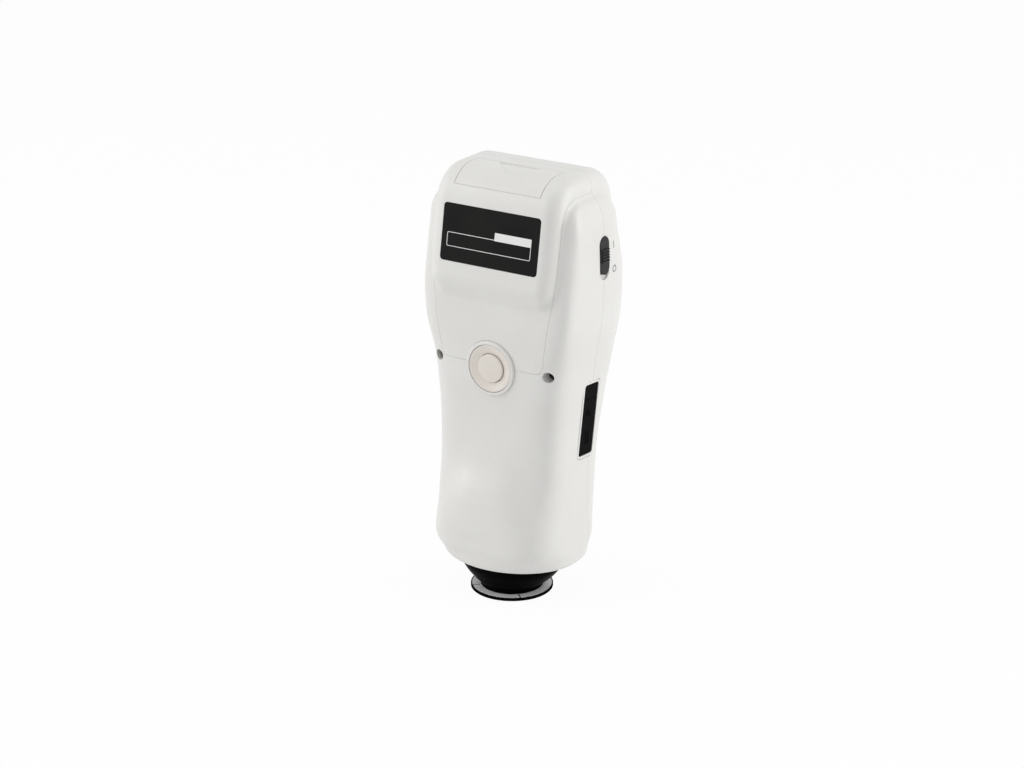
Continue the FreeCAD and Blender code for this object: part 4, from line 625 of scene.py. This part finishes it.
@dataclass
class SubAssembly:
    """What every sub-assembly shares: the surface effects, and how a piece is placed and dressed."""

    groups: SurfaceGroups

    def place(self, name: str, mesh: bmesh.types.BMesh, at: Matrix, body: str, finish: Finishes,
              slot: str) -> bpy.types.Object:
        """Turn a modelled mesh into a piece that rides on a body.

        Args:
            name: The piece's name.
            mesh: Its mesh, in its own frame.
            at: Its place in the instrument's frame.
            body: The body that it rides on.
            finish: Its finish.
            slot: The record's material slot; not used.

        Returns:
            The piece.
        """
        bmesh.ops.recalc_face_normals(mesh, faces=mesh.faces)
        mesh.transform(at)
        data = bpy.data.meshes.new(name)
        mesh.to_mesh(data)
        mesh.free()
        piece = bpy.data.objects.new(name, data)
        bpy.context.scene.collection.objects.link(piece)
        data.materials.append(finish.value.material(self.groups))
        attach(piece, body)
        LOG.info("%s rides on %s with %s", name, body, finish.value.name)
        return piece

    def dress(self, *nodes: str) -> None:
        """Give CAD nodes their finishes.

        Args:
            nodes: The nodes' names.
        """
        for node in nodes:
            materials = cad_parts[node].data.materials
            materials.clear()
            materials.append(NODE_FINISHES[node].value.material(self.groups))
            LOG.info("%s is dressed in %s", node, NODE_FINISHES[node].value.name)


@dataclass
class Housing(SubAssembly):
    """The moulded shells, the rear cover with its door, and what is fixed to them."""

    nodes: tuple[str, ...] = ("front_shell", "rear_shell", "rear_cover", "battery_door", "case_screws")

    def build(self) -> None:
        """Dress the shells, the cover, the door and the case screws."""
        self.dress(*self.nodes)


@dataclass
class DataPlate(SubAssembly):
    """The black plate on the hump, with a plain outline and a blank field."""

    print_thick: float = 0.05 * MM
    sunk: float = 0.02 * MM
    box_across: float = -0.6 * MM
    box_along: float = -3.6 * MM
    box_width: float = 50.6 * MM
    box_height: float = 7.4 * MM
    box_line: float = 0.32 * MM
    box_corner: float = 0.8 * MM
    field_width: float = 22.0 * MM
    field_height: float = 4.2 * MM
    field_along: float = 1.6 * MM
    field_corner: float = 0.25 * MM

    def build(self) -> None:
        """Dress the plate and print its outline and its field."""
        self.dress("data_plate")
        face = outer_face("data_plate", Vector((0, 1, 0)))
        self.place("plate_outline",
                   outline(self.box_width, self.box_height, self.box_line, self.print_thick + self.sunk,
                           self.box_corner),
                   face.at(self.box_across, self.box_along, -self.sunk), "housing", Finishes.PRINT_WHITE,
                   "housing_white")
        field_across = self.box_across + (self.box_width - self.field_width) / 2
        self.place("plate_field",
                   bar(self.field_width, self.field_height, self.print_thick + 2 * self.sunk,
                       self.field_corner),
                   face.at(field_across, self.field_along, -self.sunk), "housing", Finishes.PRINT_WHITE,
                   "housing_white")


@dataclass
class TestButton(SubAssembly):
    """The thumb button with its bezel and its dished ring."""

    nodes: tuple[str, ...] = ("test_button_bezel", "test_button_ring", "test_button", "button_board")

    def build(self) -> None:
        """Dress the button's pieces."""
        self.dress(*self.nodes)


@dataclass
class PowerSwitch(SubAssembly):
    """The ribbed slide switch with its two marks."""

    mark_thick: float = 0.05 * MM
    sunk: float = 0.03 * MM
    on_place: tuple[float, float] = (-25.6 * MM, 191.4 * MM)
    off_place: tuple[float, float] = (-25.9 * MM, 178.5 * MM)
    line: float = 0.55 * MM
    on_height: float = 3.6 * MM
    off_radius: float = 1.9 * MM
    outside: float = -80 * MM

    def build(self) -> None:
        """Dress the switch and print its marks on the front shell."""
        self.dress("power_switch_knob", "power_switch_body")
        inwards = Vector((1, 0, 0))
        on_face = skin_face("front_shell", Vector((self.outside, *self.on_place)), inwards)
        off_face = skin_face("front_shell", Vector((self.outside, *self.off_place)), inwards)
        thick = self.mark_thick + self.sunk
        self.place("switch_on_mark", bar(self.line, self.on_height, thick, self.line / 4),
                   on_face.at(0, 0, -self.sunk), "housing", Finishes.PRINT_GREY, "black_plastic")
        self.place("switch_off_mark", ring(self.off_radius, self.off_radius - self.line, thick),
                   off_face.at(0, 0, -self.sunk), "housing", Finishes.PRINT_GREY, "black_plastic")


@dataclass
class PortCover(SubAssembly):
    """The rubber cover over the sockets, with two raised signs."""

    nodes: tuple[str, ...] = ("port_frame", "port_cover_anchor", "port_cover_flap", "dc_socket", "usb_socket",
                              "port_board")
    sign_thick: float = 0.3 * MM
    sunk: float = 0.1 * MM
    supply_along: float = 7.4 * MM
    supply_radius: float = 1.9 * MM
    data_along: float = -6.2 * MM
    line: float = 0.6 * MM
    data_width: float = 3.0 * MM
    data_height: float = 7.6 * MM

    def build(self) -> None:
        """Dress the cover and the sockets and raise the two signs."""
        self.dress(*self.nodes)
        face = outer_face("port_cover_flap", Vector((-1, 0, 0)))
        thick = self.sign_thick + self.sunk
        self.place("supply_sign_ring", ring(self.supply_radius, self.supply_radius - self.line, thick),
                   face.at(0, self.supply_along, -self.sunk), "port_cover_flap", Finishes.BLACK_RUBBER,
                   "black_rubber")
        self.place("supply_sign_pin", bar(self.line, self.line, thick, self.line * 0.4),
                   face.at(0, self.supply_along, -self.sunk), "port_cover_flap", Finishes.BLACK_RUBBER,
                   "black_rubber")
        self.place("data_sign_outline",
                   outline(self.data_width, self.data_height, self.line, thick, self.line),
                   face.at(0, self.data_along, -self.sunk), "port_cover_flap", Finishes.BLACK_RUBBER,
                   "black_rubber")


@dataclass
class Display(SubAssembly):
    """The screen behind its clear window with a black border."""

    nodes: tuple[str, ...] = ("display_window", "display_gasket", "display_module")
    border_thick: float = 0.03 * MM
    sunk: float = 0.02 * MM
    view_width: float = 50.0 * MM
    border_inset: float = 0.35 * MM
    border_corner: float = 2.6 * MM

    def build(self) -> None:
        """Dress the display and print the window's border."""
        self.dress(*self.nodes)
        face = outer_face("display_window", Vector((0, -1, 0)))
        line = (face.width - self.view_width) / 2 - self.border_inset
        self.place("window_border",
                   outline(face.width - 2 * self.border_inset, face.height - 2 * self.border_inset, line,
                           self.border_thick + self.sunk, self.border_corner),
                   face.at(0, 0, -self.sunk), "housing", Finishes.WINDOW_BORDER, "display_black")


@dataclass
class Keypad(SubAssembly):
    """The five keys with their printed signs."""

    sign_thick: float = 0.04 * MM
    sunk: float = 0.02 * MM
    sign: float = 1.5 * MM
    menu_width: float = 3.6 * MM
    menu_height: float = 2.4 * MM
    line: float = 0.45 * MM

    def build(self) -> None:
        """Dress the keys and print a plain sign on each."""
        self.dress("key_membrane", "key_board", "menu_key", "back_key", "enter_key", "up_key", "down_key")
        thick = self.sign_thick + self.sunk
        self.sign_on("up_key", "up_sign", pointer(self.sign, thick))
        self.sign_on("down_key", "down_sign", pointer(self.sign, thick, 180.0))
        self.sign_on("back_key", "back_sign", pointer(self.sign, thick, 90.0))
        self.sign_on("enter_key", "enter_sign", ring(self.sign, self.sign - self.line, thick))
        self.sign_on("menu_key", "menu_sign",
                     outline(self.menu_width, self.menu_height, self.line, thick, self.line))

    def sign_on(self, key: str, name: str, mesh: bmesh.types.BMesh) -> None:
        """Print a sign on a key.

        Args:
            key: The key's node and body.
            name: The sign's name.
            mesh: The sign's mesh.
        """
        face = outer_face(key, Vector((0, -1, 0)))
        self.place(name, mesh, face.at(0, 0, -self.sunk), key, Finishes.PRINT_WHITE, "housing_white")


@dataclass
class Nose(SubAssembly):
    """The black nose with its locating plate, index lines and rubber foot ring."""

    nodes: tuple[str, ...] = ("nose_cone", "locating_plate", "foot_ring")
    line_width: float = 0.7 * MM
    line_length: float = 4.2 * MM
    groove: float = 0.3 * MM
    fill: float = 0.27 * MM
    line_corner: float = 0.1 * MM
    first_turn: float = 45.0
    line_count: int = 4

    def build(self) -> None:
        """Dress the nose, the plate and the foot ring, and fill the plate's index lines with black."""
        self.dress(*self.nodes)
        corners = [vertex.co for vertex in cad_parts["locating_plate"].data.vertices]
        top = max(corner.z for corner in corners)
        radius = max(corner.xy.length for corner in corners)
        out = Matrix.Translation((radius - self.line_length / 2, 0, top - self.groove))
        for index in range(self.line_count):
            degrees = self.first_turn + 360 / self.line_count * index
            turn = Matrix.Rotation(math.radians(degrees), 4, "Z")
            self.place(f"index_line_{index + 1}",
                       bar(self.line_length, self.line_width, self.fill, self.line_corner), turn @ out,
                       "housing", Finishes.BLACK_PLASTIC, "black_plastic")


@dataclass
class Inside(SubAssembly):
    """The boards, the battery and the optics inside the housing."""

    nodes: tuple[str, ...] = ("main_board", "board_screws", "sounder", "battery_tray", "battery_pack",
                              "battery_contacts", "optical_base", "sphere_lower", "sphere_upper",
                              "sphere_screws", "lamp_board", "lens_barrel", "lens", "sensor_block",
                              "sensor_board")

    def build(self) -> None:
        """Dress the inner pieces."""
        self.dress(*self.nodes)


@dataclass(frozen=True)
class Lamp:
    """One soft lamp: where it stands, how large it is and how bright."""

    name: str
    place: tuple[float, float, float]
    size: tuple[float, float]
    power: float
    aim: tuple[float, float, float] = (0.0, 0.0, 0.12)

    def build(self) -> None:
        """Hang the lamp and turn it to its aim."""
        data = bpy.data.lights.new(self.name, "AREA")
        data.shape = "RECTANGLE"
        data.size, data.size_y = self.size
        data.energy = self.power
        lamp = bpy.data.objects.new(self.name, data)
        lamp.location = self.place
        lamp.rotation_euler = (Vector(self.aim) - Vector(self.place)).to_track_quat("-Z", "Y").to_euler()
        bpy.context.scene.collection.objects.link(lamp)
        LOG.info("%s stands at %s", self.name, self.place)


@dataclass
class Studio:
    """The floor, the surrounding light, the lamps and the camera at the photograph's viewpoint."""

    floor_half: float = 6.0
    floor_white: float = 0.95
    floor_tone: float = 0.9
    ambient: float = 0.7
    turn: float = 33.0
    rise: float = 20.0
    distance: float = 1.434
    target_height: float = 0.1142
    focal_pixels: float = 2750.0
    image_width: float = 1024.0
    sensor: float = 36.0
    lamps: tuple[Lamp, ...] = field(default_factory=lambda: (
        Lamp("left_softbox", (1.1, 0.75, 0.75), (0.9, 1.2), 8.0),
        Lamp("right_softbox", (-1.2, -0.65, 0.6), (0.8, 1.2), 9.0),
        Lamp("top_softbox", (0.1, 0.1, 1.5), (1.2, 1.2), 3.0),
    ))

    def build(self) -> None:
        """Make the floor, the world, the lamps and the camera."""
        self.floor()
        self.world()
        for lamp in self.lamps:
            lamp.build()
        self.camera()
        bpy.context.scene.view_settings.view_transform = "Standard"

    def floor(self) -> None:
        """Lay a plain pale floor that looks white and keeps the instrument's shadow."""
        mesh = bmesh.new()
        bmesh.ops.create_grid(mesh, x_segments=1, y_segments=1, size=self.floor_half)
        data = bpy.data.meshes.new("floor")
        mesh.to_mesh(data)
        mesh.free()
        floor = bpy.data.objects.new("floor", data)
        bpy.context.scene.collection.objects.link(floor)
        material = bpy.data.materials.new("floor_white")
        material.use_nodes = True
        wiring = Wiring(material.node_tree)
        matt = wiring.add("ShaderNodeBsdfDiffuse")
        matt.inputs["Color"].default_value = (self.floor_tone, self.floor_tone, self.floor_tone, 1.0)
        glow = wiring.add("ShaderNodeEmission")
        seen = self.seen_directly(wiring)
        blend = wiring.add("ShaderNodeMixShader")
        wiring.tree.links.new(wiring.sum("MULTIPLY", seen, self.floor_white), blend.inputs[0])
        wiring.tree.links.new(matt.outputs[0], blend.inputs[1])
        wiring.tree.links.new(glow.outputs[0], blend.inputs[2])
        leave = wiring.add("ShaderNodeOutputMaterial")
        wiring.tree.links.new(blend.outputs[0], leave.inputs["Surface"])
        data.materials.append(material)

    @staticmethod
    def seen_directly(wiring: Wiring) -> bpy.types.NodeSocket:
        """Return a value of 1 for rays from the camera, from gloss and through glass.

        Args:
            wiring: The wiring of the floor's or the world's tree.

        Returns:
            The value's socket.
        """
        light = wiring.add("ShaderNodeLightPath")
        gloss = wiring.sum("MAXIMUM", light.outputs["Is Camera Ray"], light.outputs["Is Glossy Ray"])
        return wiring.sum("MAXIMUM", gloss, light.outputs["Is Transmission Ray"])

    def world(self) -> None:
        """Surround the instrument with even light and a white background."""
        world = bpy.data.worlds.new("studio")
        bpy.context.scene.world = world
        world.use_nodes = True
        wiring = Wiring(world.node_tree)
        backdrop = wiring.add("ShaderNodeBackground")
        level = wiring.spread(self.seen_directly(wiring), self.ambient, 1.0)
        wiring.tree.links.new(level, backdrop.inputs["Strength"])
        leave = wiring.add("ShaderNodeOutputWorld")
        wiring.tree.links.new(backdrop.outputs[0], leave.inputs["Surface"])

    def camera(self) -> None:
        """Set the camera at the photograph's viewpoint."""
        data = bpy.data.cameras.new("photo_camera")
        data.sensor_width = self.sensor
        data.lens = self.focal_pixels / self.image_width * self.sensor
        camera = bpy.data.objects.new("photo_camera", data)
        turn, rise = math.radians(self.turn), math.radians(self.rise)
        back = Vector((-math.sin(turn) * math.cos(rise), math.cos(turn) * math.cos(rise), math.sin(rise)))
        camera.location = Vector((0, 0, self.target_height)) + back * self.distance
        camera.rotation_euler = (-back).to_track_quat("-Z", "Y").to_euler()
        bpy.context.scene.collection.objects.link(camera)
        bpy.context.scene.camera = camera


def main() -> None:
    """Build every sub-assembly in order, then the studio."""
    logging.basicConfig(level=logging.INFO, format="%(name)s: %(message)s")
    groups = SurfaceGroups()
    for kind in (Housing, DataPlate, TestButton, PowerSwitch, PortCover, Display, Keypad, Nose, Inside):
        kind(groups).build()
    Studio().build()


if __name__ == "__main__":
    main()
